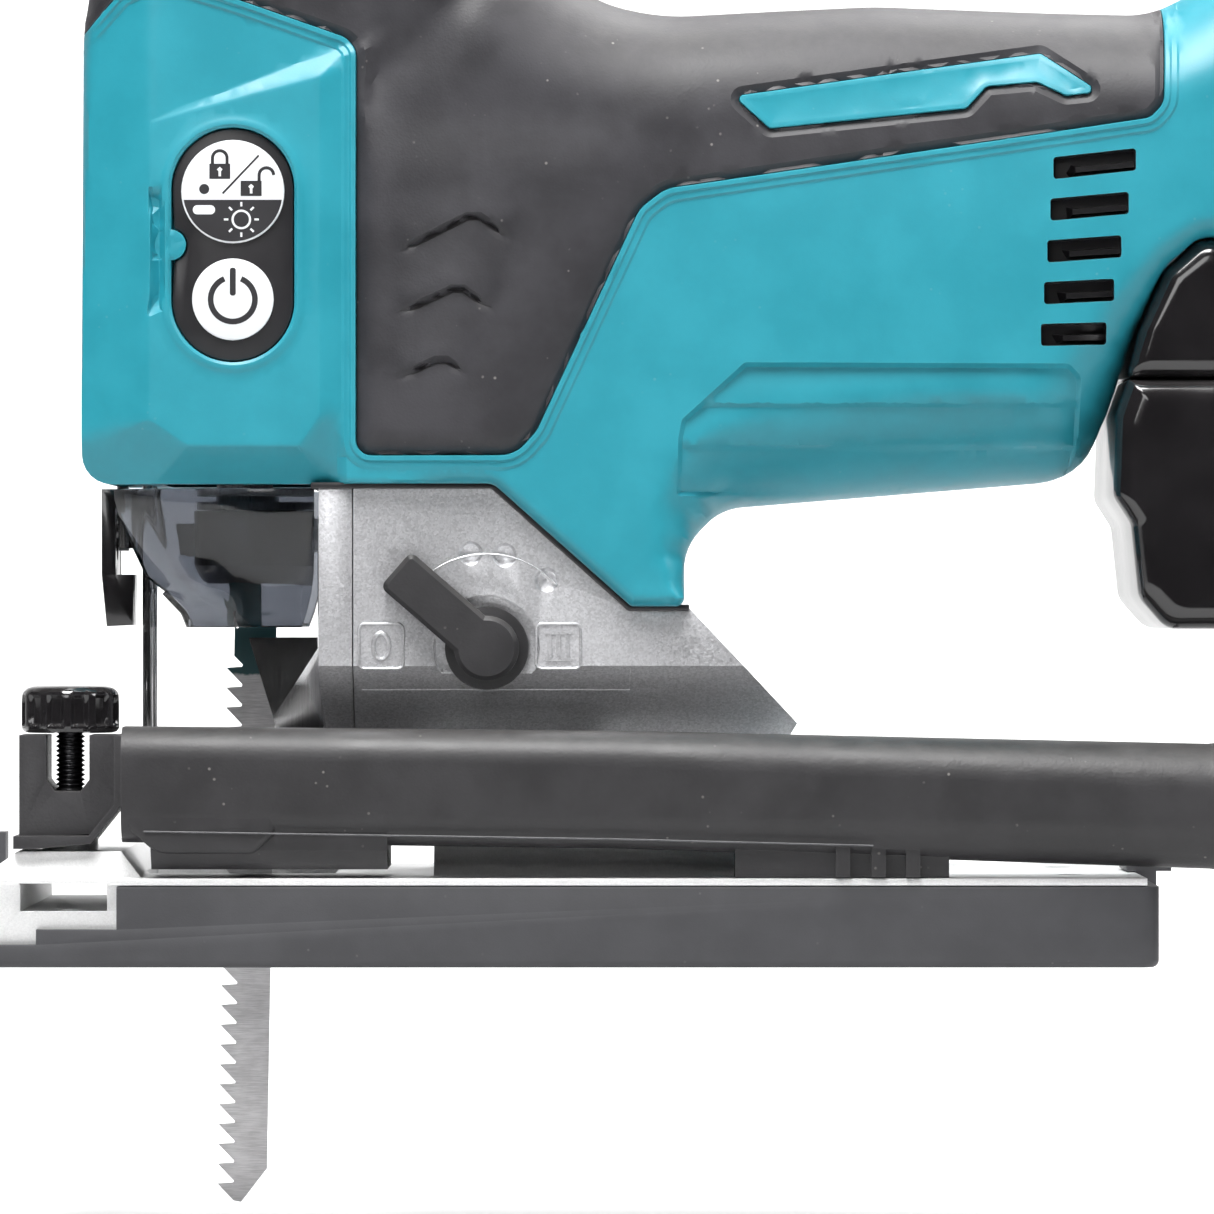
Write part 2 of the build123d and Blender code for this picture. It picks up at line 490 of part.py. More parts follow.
def roller_nodes():
    """The retainer that swings behind the blade, with the grooved guide roller."""
    cheek = [(ROLLER_X + 4.6, 26.2), (ROLLER_X + 4.6, 48), (12.0, 51.6), (0.8, 51.6), (ROLLER_X - 4.9, 39.0),
             (ROLLER_X - 2.0, 26.2)]
    retainer = along_y(cheek, -5.2, -4.0) + along_y(cheek, 4.0, 5.2)
    retainer -= block(-5, 9.0, -3.9, 3.9, 20, 60)
    retainer += block(12.1, 14.3, -5.2, 5.2, 40, 53.8)
    retainer += block(12.1, 14.3, -10.4, 10.4, 50.0, 66)
    for y in (-9.0, 9.0):
        retainer += block(12.1, 14.5, y - 1.4, y + 1.4, 62, 71)
    retainer += rod_y(2.3, -10.4, 10.4, PIVOT_X, RETAINER_PIVOT_Z)
    retainer -= rod_y(1.05, -20, 20, PIVOT_X, RETAINER_PIVOT_Z)
    retainer -= rod_y(1.52, -20, 20, ROLLER_X, ROLLER_Z)
    pin = rod_y(1.5, -5.6, 5.6, ROLLER_X, ROLLER_Z)
    profile = [(1.55, -3.6), (ROLLER_R, -3.6), (ROLLER_R, -1.6), (GROOVE_R, -0.95), (GROOVE_R, 0.95), (ROLLER_R, 1.6), (ROLLER_R, 3.6), (1.55, 3.6)]
    roller = revolve(Plane.XY * Polygon(*profile), Axis.Y)
    roller = Pos(ROLLER_X, 0, ROLLER_Z) * roller
    axle = rod_y(1.0, -14.2, 14.2, PIVOT_X, RETAINER_PIVOT_Z)
    return {"roller_retainer": retainer, "roller_pin": pin, "guide_roller": roller, "retainer_axle": axle}


def shield_plan(scale, nose, rear, half):
    """The plan outline of one level of the dust cover, from its rear left corner round the nose."""
    return [(rear, -half), (-2.5, -half), (nose + 9 * scale, -half * 0.78), (nose, -9.0), (nose, 9.0),
            (nose + 9 * scale, half * 0.78), (-2.5, half), (rear, half)]


def front_nodes():
    """The clear dust cover, the blade release lever and the wire guard."""
    top, low = 75.3, 53.3
    levels = ((top, shield_plan(1.0, -21.4, 12.0, 23.5)), (low, shield_plan(0.25, -8.0, 9.2, 16.0)))
    inner = ((top + 0.1, shield_plan(1.0, -19.4, 13.0, 21.7)), (low - 0.1, shield_plan(0.25, -6.2, 13.0, 14.2)))
    skins = []
    for pair in (levels, inner):
        skins.append(loft([Plane.XY.offset(z) * Polygon(*plan) for z, plan in pair], ruled=True))
    shield = skins[0] - skins[1]
    shield -= block(-30, -9, -8.6, 9.6, 50, 80)
    shield += block(9.2, 12.2, -23.5, -19.4, 66, 75.3) + block(9.2, 12.2, 19.4, 23.5, 66, 75.3)

    lever = block(-22.6, -20.4, -8.0, 8.0, 61.6, 75.4)
    lever += block(-22.6, -17.4, -8.0, 4.6, 72.2, 75.4)
    lever += along_y([(-22.6, 61.7), (-17.4, 61.7), (-17.6, 53.6), (-21.8, 53.4)], -8.0, 1.5)
    lever -= Pos(-21, -2.5, 67.2) * Rot(0, 90, 0) * extrude(Ellipse(3.2, 2.6), 8, both=True)
    lever += rod_z(2.2, 66, 75.4, -20.0, 6.0)
    lever -= rod_z(1.05, 60, 90, -20.0, 6.0)
    pin = rod_z(1.0, 65.6, 78.5, -20.0, 6.0)

    wire_r = 0.85
    half, low_z, top_z = 6.4, 31.4, 78.4
    path = FilletPolyline((GUARD_X, half, top_z), (GUARD_X, half, low_z), (GUARD_X, -half, low_z),
                          (GUARD_X, -half, top_z), radius=3.0)
    guard = sweep(Plane(origin=(GUARD_X, half, top_z), z_dir=(0, 0, -1)) * Circle(wire_r), path=path)
    return {"dust_cover": shield, "release_lever": lever, "lever_pin": pin, "wire_guard": guard}


def base_nodes():
    """The tilting base, its clip-on cover plate and the clamp that holds it."""
    under = SOLE_T + 0.2
    base = block(BASE_FRONT + 2, BASE_REAR - 2, -BASE_HALF, BASE_HALF, under, BASE_TOP)
    base -= block(BASE_FRONT + 5, BASE_REAR - 5, -BASE_HALF + 3, BASE_HALF - 3, 0, BASE_TOP - BASE_PLATE)
    base += block(BASE_FRONT + 2, BASE_REAR - 2, -LIP_HALF, LIP_HALF, 12.9, BASE_TOP)
    base += rod_x(ARCH_R, ARCH_FRONT, ARCH_REAR, 0, TILT_Z) - block(0, 100, -40, 40, -40, BASE_TOP - BASE_PLATE)
    # fence channel across the nose, with its raised pad
    pad = [(BASE_FRONT + 2, 14), (-34, 18.2), (-17.8, 18.2), (-14.6, 14), (-14.6, 6.0), (BASE_FRONT + 2, 6.0)]
    base += along_y(pad, -BASE_HALF, BASE_HALF)
    base -= block(-33.6, -20.0, -50, 50, 8.8, 13.2)
    base += rod_z(4.4, 18.0, 20.4, SCREW_X, SCREW_Y)
    base -= rod_z(2.3, 8, 30, SCREW_X, SCREW_Y)
    base -= block(-15.0, 15.0, -14.5, 14.5, 0, 30)
    # hollow of the arch, and the arc slot that the clamp bolt swings in
    base -= rod_x(ARCH_R - ARCH_T, ARCH_FRONT - 20, ARCH_REAR + 20, 0, TILT_Z) - block(0, ARCH_FRONT, -40, 40, 10.9, 60) \
        - block(ARCH_REAR, 120, -40, 40, 10.9, 60)
    reach = 54
    wedge = [(0, 0), (60 * sin(radians(reach)), 60 * cos(radians(reach))), (0, 80), (-60 * sin(radians(reach)), 60 * cos(radians(reach)))]
    slot = along_x(wedge, BOLT_X - 3.4, BOLT_X + 3.4)
    base -= Pos(0, 0, TILT_Z) * slot
    for x in (100, 132):
        for y in (-18, 18):
            base -= rod_z(2.2, 0, 30, x, y)

    top = 12.7
    cover = block(BASE_FRONT, BASE_REAR, -38.5, 38.5, 0, top)
    cover = fillet(cover.edges().filter_by(Axis.Z), 3.0)
    cover = fillet(cover.edges().group_by(Axis.Z)[0], 1.2)
    cover -= block(BASE_FRONT + 1.8, BASE_REAR - 1.8, -36.6, 36.6, SOLE_T, 40)
    # the wall steps down towards the nose, where the fence passes
    cover -= block(BASE_FRONT - 3, -18.4, -50, 50, 6.0, 40) + block(BASE_FRONT - 3, -31.0, -50, 50, 3.6, 40)
    cover -= block(-15.6, 14.0, -4.6, 4.6, -1, 10) + block(-60, -15.5, -1.2, 1.2, -1, 10)
    cover -= block(BOLT_X - 14, BOLT_X + 14, -6.2, 6.2, -1, 10)
    cover += block(BASE_REAR - 1.9, BASE_REAR + 1.4, -9, 9, 4, 15.6) + block(BASE_REAR - 3.4, BASE_REAR + 3.8, -9, 9, 14.2, 16.4)
    cover += block(BASE_FRONT - 1.4, BASE_FRONT + 1.8, -28, -22, 1.2, 19.6)
    cover += block(BASE_FRONT - 1.4, BASE_FRONT + 1.8, 22, 28, 1.2, 19.6)

    inner = ARCH_R - ARCH_T - 0.15
    arc = asin(13.0 / inner)
    plate = rod_x(inner, BOLT_X - 9, BOLT_X + 9, 0, TILT_Z) - rod_x(inner - 3, 0, 100, 0, TILT_Z)
    plate &= block(0, 100, -inner * sin(arc), inner * sin(arc), 10, 60)
    plate -= rod_z(3.1, 0, 60, BOLT_X)
    head = TILT_Z + inner - 3 - 2.1
    bolt = rod_z(3.0, head - 0.1, 38.0, BOLT_X) + rod_z(5.0, head - 4.4, head, BOLT_X)
    bolt -= push(Plane.XY.offset(head - 4.5), Pos(BOLT_X, 0) * RegularPolygon(2.6, 6), 2.6)
    nut = block(BOLT_X - 5.0, BOLT_X + 5.0, -5.0, 5.0, 34.3, 38.0) - rod_z(3.02, 30, 50, BOLT_X)
    bolt += rod_z(5.8, head, head + 1.0, BOLT_X)
    return {"base": base, "cover_plate": cover, "base_clamp_plate": plate, "base_clamp_bolt": bolt,
            "base_clamp_nut": nut}


NOZZLE_OUT, NOZZLE_IN = -40.6, -22.4
SPIGOT_R = 12.0


def nozzle_nodes():
    """The dust nozzle along the -Y side, and the clamp knob that holds it to the base."""
    def level(x, y0, y1, z0, z1, r):
        """A rounded rectangle across the duct at one station."""
        return Plane.YZ.offset(x) * Pos((y0 + y1) / 2, (z0 + z1) / 2) * RectangleRounded(y1 - y0, z1 - z0, r)

    outer_stations = [level(-17.6, NOZZLE_OUT, NOZZLE_IN, 19.6, 37.7, 5.0), level(60, NOZZLE_OUT, NOZZLE_IN, 18.6, 37.0, 5.5),
                      level(153, NOZZLE_OUT - 2.2, NOZZLE_IN - 1.0, 15.4, 35.0, 8.0)]
    inner_stations = [level(-15.6, NOZZLE_OUT + 1.8, NOZZLE_IN - 1.8, 21.4, 35.9, 3.4), level(60, NOZZLE_OUT + 1.8, NOZZLE_IN - 1.8, 20.4, 35.2, 3.8),
                      level(153, NOZZLE_OUT - 0.4, NOZZLE_IN - 2.8, 17.2, 33.2, 6.4)]
    duct = loft(outer_stations[:2], ruled=True) + loft(outer_stations[1:], ruled=True)
    hollow = loft(inner_stations[:2], ruled=True) + loft(inner_stations[1:], ruled=True)
    centre_y = (NOZZLE_OUT - 2.2 + NOZZLE_IN - 1.0) / 2
    centre_z = 25.2
    flare = loft([level(153, NOZZLE_OUT - 2.2, NOZZLE_IN - 1.0, 15.4, 35.0, 8.0), level(172, centre_y - SPIGOT_R, centre_y + SPIGOT_R, centre_z - SPIGOT_R, centre_z + SPIGOT_R, SPIGOT_R - 0.01)], ruled=True)
    flare_in = loft([level(153, NOZZLE_OUT - 0.4, NOZZLE_IN - 2.8, 17.2, 33.2, 6.4), level(172, centre_y - SPIGOT_R + 1.8, centre_y + SPIGOT_R - 1.8, centre_z - SPIGOT_R + 1.8, centre_z + SPIGOT_R - 1.8, SPIGOT_R - 1.81)], ruled=True)
    duct += flare + rod_x(SPIGOT_R, 172, 194, centre_y, centre_z)
    hollow += flare_in + rod_x(SPIGOT_R - 1.8, 172, 200, centre_y, centre_z)
    # intake that turns down and in towards the blade
    intake = along_x([(NOZZLE_OUT + 1.0, 24), (NOZZLE_IN - 1, 26), (-14.8, 24.0), (-14.8, 15.4), (-37, 15.4), (NOZZLE_OUT + 1.0, 18.4)], -13, 24)
    intake_in = along_x([(NOZZLE_OUT + 3.0, 26), (NOZZLE_IN - 2.8, 26), (-14, 22.3), (-14, 17.0), (-36, 17.0)], -11, 22)
    # foot that stands on the base, with three ribs
    foot = block(78.5, 112, NOZZLE_OUT + 3, NOZZLE_IN - 4, BASE_TOP + 0.1, 21)
    nozzle = duct + intake + foot
    for x in (94.2, 99.8, 105.2):
        nozzle += block(x, x + 2.2, NOZZLE_OUT + 1.4, NOZZLE_OUT + 4, BASE_TOP + 0.2, 22.4)
    nozzle -= hollow
    nozzle -= intake_in
    # bracket for the clamp screw: two cheeks on a floor, open to the sides
    bracket = along_y([(-33.8, 36.4), (-18.4, 36.4), (-18.4, 24.5), (-22, 20.9), (-33.8, 20.5)], NOZZLE_OUT + 4.6, NOZZLE_IN)
    bracket += along_y([(-18.8, 36.3), (-16.4, 36.3), (-16.4, 27), (-22.5, 19.4), (-31.4, 18.6), (-34.6, 18.6),
                        (-34.6, 20.6), (-22.8, 20.7), (-18.8, 25.5)], NOZZLE_OUT + 2.6, NOZZLE_IN)
    bracket -= along_y([(-29.6, 40), (-22.8, 40), (-22.8, 29.4), (-24.2, 27.6), (-28.2, 27.6), (-29.6, 29.4)], -60, 0)
    bracket -= rod_z(2.6, 10, 45, SCREW_X, SCREW_Y)
    bracket -= rod_z(4.7, 10, 20.5, SCREW_X, SCREW_Y)
    nozzle += bracket

    knob = rod_z(7.7, 36.7, 44.0, SCREW_X, SCREW_Y)
    knob = fillet(knob.edges().sort_by(Axis.Z)[-1], 1.4)
    for k in range(12):
        a = 2 * pi * k / 12
        knob -= rod_z(0.75, 37.6, 50, SCREW_X + 7.9 * cos(a), SCREW_Y + 7.9 * sin(a))
    knob += rod_z(2.25, 13.6, 37, SCREW_X, SCREW_Y)
    return {"dust_nozzle": nozzle, "clamp_knob": knob}


BATTERY_HALF = 28.7
PACK_SPLIT = 92.6


def battery_nodes():
    """The slide battery: two case halves, six cells, its board, contacts and release button."""
    top = [(152.7, 114.5), (147.2, 109.4), (143.0, 99.8), (140.8, PACK_SPLIT + 0.1), (207, PACK_SPLIT + 0.1), (207.6, 111), (204, 114.5)]
    upper = along_y(top, -BATTERY_HALF + 1.0, BATTERY_HALF - 1.0)
    upper -= along_y(inset(top, 2.2), -BATTERY_HALF + 3.2, BATTERY_HALF - 3.2)
    upper -= block(145, 204, -BATTERY_HALF + 3.2, BATTERY_HALF - 3.2, PACK_SPLIT - 4, PACK_SPLIT + 6)
    upper += block(154, 205.4, -DOCK_NECK + 0.3, DOCK_NECK - 0.3, 114.5, 122.2)
    upper += block(154, 205.4, -DOCK_HEAD + 0.4, DOCK_HEAD - 0.4, 118.9, 122.2)
    for y in (-9, 0, 9):
        upper -= block(150, 176, y - 1.0, y + 1.0, 115.2, 123)
    upper -= block(194.8, 210, -10.2, 10.2, 100, 120)

    low_side = [(140.8, PACK_SPLIT - 0.1), (139.3, 88), (138.6, 84), (138.4, 74), (140.6, 70.2), (142.2, 58), (146.4, 53), (201, 53), (206, 58), (207, PACK_SPLIT - 0.1)]
    lower = along_y(low_side, -BATTERY_HALF, BATTERY_HALF)
    lower -= along_y([(142.8, 100), (140.9, 84), (140.7, 74), (142.8, 70.5), (144.2, 59), (147.4, 55), (200, 55), (203.8, 59), (204.8, 100)],
                     -BATTERY_HALF + 1.2, BATTERY_HALF - 1.2)
    lower -= block(206.0, 210, -10, 10, 80, 88)
    cells = []
    for z in (64.4, 83.0):
        for y in (-18.3, 0, 18.3):
            cells.append(rod_x(9.1, 142.9, 203.6, y, z) if z > 70 else rod_x(9.1, 147.6, 199.8, y, z))
    board = block(152, 200, -20, 20, 98.6, 100.2)
    clips = []
    for y in (-9, 0, 9):
        clip = block(156, 174, y - 0.95, y - 0.45, 115.4, 121.4) + block(156, 174, y + 0.45, y + 0.95, 115.4, 121.4)
        clips.append(clip)
    button = block(198.2, 209.0, -9.6, 9.6, 103.0, 112.4) + block(198.2, 203, -9.6, 9.6, 112.3, 114.4)
    button = chamfer(button.edges().filter_by(Axis.Y).sort_by(Axis.X)[-2:], 1.4)
    gauge = block(206.0, 207.3, -10, 10, 80, 88)

    block_tool = block(150.7, 152.5, -13.6, 13.6, 115.4, 122.4) + block(146.8, 150.8, -13.6, 13.6, 117, 122.4)
    blades = []
    for y in (-9, 0, 9):
        blades.append(block(152.6, 168, y - 0.4, y + 0.4, 115.6, 121.2))
    return {"battery_case_upper": upper, "battery_case_lower": lower, "battery_cells": Compound(cells),
            "battery_board": Compound([board, *clips]), "battery_button": button,
            "battery_gauge": gauge, "terminal_block": block_tool, "terminal_blades": Compound(blades)}


def controller_node():
    """The motor controller: a board in a potting tray, and its capacitor."""
    tray = block(112, 134, -18, 18, 86, 89) + rod_y(5.0, -14, 10, 123, 95.2)
    return {"controller": tray}


def main():
    """Builds every node and writes one STEP file for each."""
    nodes = {}
    for group in (housing_nodes, lamp_nodes, dial_nodes, gear_housing_nodes, orbit_lever_nodes, motor_nodes,
                  crank_nodes, plunger_nodes, blade_node, roller_nodes, front_nodes, base_nodes, nozzle_nodes,
                  battery_nodes, controller_node):
        nodes.update(group())
    for name, shape in nodes.items():
        export_step(shape if isinstance(shape, (Part, Compound, Solid)) else Part() + shape, f"parts/{name}.step")
    print(len(nodes), "nodes")


main()
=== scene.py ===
"""Studio model of a cordless barrel-grip jigsaw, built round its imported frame.

Lengths in the classes are in millimetres and are scaled to metres when a mesh is made. +Z is up,
-X is the cutting direction and -Y is the side with the dust nozzle.
"""

from __future__ import annotations

import json
import logging
import math
from collections.abc import Callable, Iterable, Sequence
from dataclasses import dataclass, field
from enum import Enum

import bmesh
import bpy
import numpy as np
from mathutils import Matrix, Vector
from mathutils.geometry import delaunay_2d_cdt, tessellate_polygon

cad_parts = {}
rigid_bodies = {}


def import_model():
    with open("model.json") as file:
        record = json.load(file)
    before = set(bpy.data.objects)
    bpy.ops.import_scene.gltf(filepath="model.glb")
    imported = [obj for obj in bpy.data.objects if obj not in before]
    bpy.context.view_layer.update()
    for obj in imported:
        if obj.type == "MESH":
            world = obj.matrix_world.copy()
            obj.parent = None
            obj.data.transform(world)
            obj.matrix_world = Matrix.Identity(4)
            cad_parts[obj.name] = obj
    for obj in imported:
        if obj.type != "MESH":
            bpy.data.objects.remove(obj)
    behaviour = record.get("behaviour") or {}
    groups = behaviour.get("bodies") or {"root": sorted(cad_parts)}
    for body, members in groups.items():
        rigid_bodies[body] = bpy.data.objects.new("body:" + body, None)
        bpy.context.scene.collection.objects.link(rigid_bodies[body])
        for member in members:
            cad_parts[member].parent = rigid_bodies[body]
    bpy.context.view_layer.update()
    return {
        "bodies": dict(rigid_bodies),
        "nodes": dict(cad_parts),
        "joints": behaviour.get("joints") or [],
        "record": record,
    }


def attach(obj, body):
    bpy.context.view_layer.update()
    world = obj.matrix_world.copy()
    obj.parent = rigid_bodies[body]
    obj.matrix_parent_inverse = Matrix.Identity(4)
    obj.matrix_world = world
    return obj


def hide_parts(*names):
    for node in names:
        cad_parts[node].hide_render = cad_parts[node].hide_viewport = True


LOG = logging.getLogger("jigsaw")
MM = 0.001
FINE_ANGLE = math.radians(28.0)

Point2 = tuple[float, float]
Point3 = tuple[float, float, float]
Rgb = tuple[float, float, float]


# ------------------------------------------------------------------ shader groups


class Sockets(Enum):
    """Kinds of socket that the shader groups use."""

    NUMBER = "NodeSocketFloat"
    COLOUR = "NodeSocketColor"
    VECTOR = "NodeSocketVector"


def new_group(name: str, inputs: dict[str, tuple[Sockets, float]], outputs: dict[str, Sockets]) -> bpy.types.NodeTree:
    """Starts a shader node group with named sockets.

    Args:
        name: Name of the group.
        inputs: Kind and default of each input, by name.
        outputs: Kind of each output, by name.

    Returns:
        The group, with its input and output nodes named "in" and "out".
    """
    tree = bpy.data.node_groups.new(name, "ShaderNodeTree")
    for label, (kind, default) in inputs.items():
        socket = tree.interface.new_socket(label, in_out="INPUT", socket_type=kind.value)
        if kind is Sockets.NUMBER:
            socket.default_value = default
    for label, kind in outputs.items():
        tree.interface.new_socket(label, in_out="OUTPUT", socket_type=kind.value)
    tree.nodes.new("NodeGroupInput").name = "in"
    tree.nodes.new("NodeGroupOutput").name = "out"
    return tree


@dataclass
class Wiring:
    """Adds and links nodes in one tree."""

    tree: bpy.types.NodeTree

    def add(self, kind: str, **settings: object) -> bpy.types.Node:
        """Adds a node.

        Args:
            kind: Node type.
            settings: Node attributes to set.

        Returns:
            The new node.
        """
        node = self.tree.nodes.new(kind)
        for key, value in settings.items():
            setattr(node, key, value)
        return node

    def link(self, source: bpy.types.NodeSocket, target: bpy.types.NodeSocket) -> None:
        """Links two sockets."""
        self.tree.links.new(source, target)

    def maths(self, operation: str, *values: object, clamp: bool = False) -> bpy.types.NodeSocket:
        """Adds a Math node.

        Args:
            operation: Its operation.
            values: Numbers or sockets for its inputs.
            clamp: Whether the result is clamped.

        Returns:
            Its output socket.
        """
        node = self.add("ShaderNodeMath", operation=operation, use_clamp=clamp)
        for index, value in enumerate(values):
            self.feed(value, node.inputs[index])
        return node.outputs[0]

    def feed(self, value: object, socket: bpy.types.NodeSocket) -> None:
        """Gives a socket a number, a colour or a link."""
        if isinstance(value, bpy.types.NodeSocket):
            self.link(value, socket)
        elif isinstance(value, tuple) and socket.type == "RGBA":
            socket.default_value = (*value[:3], 1.0)
        else:
            socket.default_value = value

    def blend(self, factor: object, low: object, high: object) -> bpy.types.NodeSocket:
        """Adds a colour Mix node.

        Args:
            factor: Its factor.
            low: Colour at factor 0.
            high: Colour at factor 1.

        Returns:
            Its colour output.
        """
        node = self.add("ShaderNodeMix", data_type="RGBA")
        self.feed(factor, node.inputs[0])
        self.feed(low, node.inputs[6])
        self.feed(high, node.inputs[7])
        return node.outputs[2]

    def noise(self, vector: bpy.types.NodeSocket, scale: object, detail: float = 3.0, rough: float = 0.5) -> bpy.types.NodeSocket:
        """Adds a Noise Texture.

        Args:
            vector: Coordinates.
            scale: Its scale.
            detail: Its detail.
            rough: Its roughness.

        Returns:
            Its factor output.
        """
        node = self.add("ShaderNodeTexNoise")
        self.link(vector, node.inputs["Vector"])
        self.feed(scale, node.inputs["Scale"])
        node.inputs["Detail"].default_value = detail
        node.inputs["Roughness"].default_value = rough
        return node.outputs[0]

    def span(self, value: bpy.types.NodeSocket, low: float, high: float, to_low: float = 0.0, to_high: float = 1.0) -> bpy.types.NodeSocket:
        """Maps one range of a value to another, clamped.

        Args:
            value: The value.
            low: Start of its range.
            high: End of its range.
            to_low: What the start becomes.
            to_high: What the end becomes.

        Returns:
            The mapped value.
        """
        node = self.add("ShaderNodeMapRange", interpolation_type="SMOOTHSTEP")
        self.link(value, node.inputs[0])
        for index, number in enumerate((low, high, to_low, to_high), start=1):
            node.inputs[index].default_value = number
        return node.outputs[0]


class Effects:
    """Shader groups that several finishes share, each built once."""

    _made: dict[str, bpy.types.NodeTree] = {}

    @classmethod
    def grain(cls) -> bpy.types.NodeTree:
        """Moulded grain: a fine height and a mottle, from the cell size in millimetres."""
        if "grain" not in cls._made:
            tree = new_group("moulded_grain", {"Size": (Sockets.NUMBER, 0.4)}, {"Height": Sockets.NUMBER, "Mottle": Sockets.NUMBER})
            w = Wiring(tree)
            place = w.add("ShaderNodeTexCoord").outputs["Object"]
            scale = w.maths("DIVIDE", 1000.0, tree.nodes["in"].outputs["Size"])
            cells = w.add("ShaderNodeTexVoronoi", feature="SMOOTH_F1")
            w.link(place, cells.inputs["Vector"])
            w.link(scale, cells.inputs["Scale"])
            fine = w.noise(place, w.maths("MULTIPLY", scale, 1.7), 2.0, 0.6)
            broad = w.noise(place, 90.0, 4.0, 0.6)
            height = w.maths("ADD", w.maths("MULTIPLY", cells.outputs["Distance"], 0.7), w.maths("MULTIPLY", fine, 0.5))
            w.link(height, tree.nodes["out"].inputs["Height"])
            w.link(broad, tree.nodes["out"].inputs["Mottle"])
            cls._made["grain"] = tree
        return cls._made["grain"]

    @classmethod
    def wear(cls) -> bpy.types.NodeTree:
        """Edge wear: a mask along convex edges, broken up by noise."""
        if "wear" not in cls._made:
            tree = new_group("edge_wear", {"Width": (Sockets.NUMBER, 0.5), "Break": (Sockets.NUMBER, 0.5)}, {"Mask": Sockets.NUMBER})
            w = Wiring(tree)
            place = w.add("ShaderNodeTexCoord").outputs["Object"]
            bevel = w.add("ShaderNodeBevel", samples=4)
            w.link(w.maths("MULTIPLY", tree.nodes["in"].outputs["Width"], MM), bevel.inputs["Radius"])
            flat = w.add("ShaderNodeNewGeometry").outputs["Normal"]
            dot = w.add("ShaderNodeVectorMath", operation="DOT_PRODUCT")
            w.link(bevel.outputs[0], dot.inputs[0])
            w.link(flat, dot.inputs[1])
            edge = w.span(dot.outputs["Value"], 0.98, 0.72)
            rough = w.span(w.noise(place, 420.0, 5.0, 0.7), 0.35, 0.62)
            rough = w.maths("ADD", rough, tree.nodes["in"].outputs["Break"], clamp=True)
            w.link(w.maths("MULTIPLY", edge, rough), tree.nodes["out"].inputs["Mask"])
            cls._made["wear"] = tree
        return cls._made["wear"]

    @classmethod
    def dust(cls) -> bpy.types.NodeTree:
        """Dust: sparse specks and a faint veil on faces that look up."""
        if "dust" not in cls._made:
            tree = new_group("settled_dust", {"Specks": (Sockets.NUMBER, 0.5), "Veil": (Sockets.NUMBER, 0.2)}, {"Mask": Sockets.NUMBER})
            w = Wiring(tree)
            place = w.add("ShaderNodeTexCoord").outputs["Object"]
            cells = w.add("ShaderNodeTexVoronoi", feature="F1")
            w.link(place, cells.inputs["Vector"])
            cells.inputs["Scale"].default_value = 520.0
            dot = w.span(cells.outputs["Distance"], 0.16, 0.06)
            gate = w.span(w.noise(place, 160.0, 3.0, 0.6), 0.55, 0.68)
            specks = w.maths("MULTIPLY", w.maths("MULTIPLY", dot, gate), tree.nodes["in"].outputs["Specks"])
            split = w.add("ShaderNodeSeparateXYZ")
            w.link(w.add("ShaderNodeNewGeometry").outputs["Normal"], split.inputs[0])
            up = w.maths("MULTIPLY", w.span(split.outputs["Z"], 0.1, 0.9), w.noise(place, 240.0, 4.0, 0.7))
            veil = w.maths("MULTIPLY", up, tree.nodes["in"].outputs["Veil"])
            w.link(w.maths("ADD", specks, veil, clamp=True), tree.nodes["out"].inputs["Mask"])
            cls._made["dust"] = tree
        return cls._made["dust"]

    @classmethod
    def brushing(cls) -> bpy.types.NodeTree:
        """Grinding lines: a height and a tone, drawn out along one axis by the stretch input."""
        if "brushing" not in cls._made:
            tree = new_group("grinding_lines", {"Stretch": (Sockets.VECTOR, 0.0)}, {"Height": Sockets.NUMBER, "Tone": Sockets.NUMBER})
            w = Wiring(tree)
            place = w.add("ShaderNodeTexCoord").outputs["Object"]
            scaled = w.add("ShaderNodeVectorMath", operation="MULTIPLY")
            w.link(place, scaled.inputs[0])
            w.link(tree.nodes["in"].outputs["Stretch"], scaled.inputs[1])
            w.link(w.noise(scaled.outputs[0], 1.0, 4.0, 0.7), tree.nodes["out"].inputs["Height"])
            w.link(w.noise(place, 130.0, 3.0, 0.6), tree.nodes["out"].inputs["Tone"])
            cls._made["brushing"] = tree
        return cls._made["brushing"]


def start_material(name: str) -> tuple[bpy.types.Material, Wiring, bpy.types.Node]:
    """Starts a node material.

    Args:
        name: Name of the material.

    Returns:
        The material, its wiring and its Principled BSDF.
    """
    material = bpy.data.materials.new(name)
    material.use_nodes = True
    return material, Wiring(material.node_tree), material.node_tree.nodes["Principled BSDF"]


# ------------------------------------------------------------------ finishes


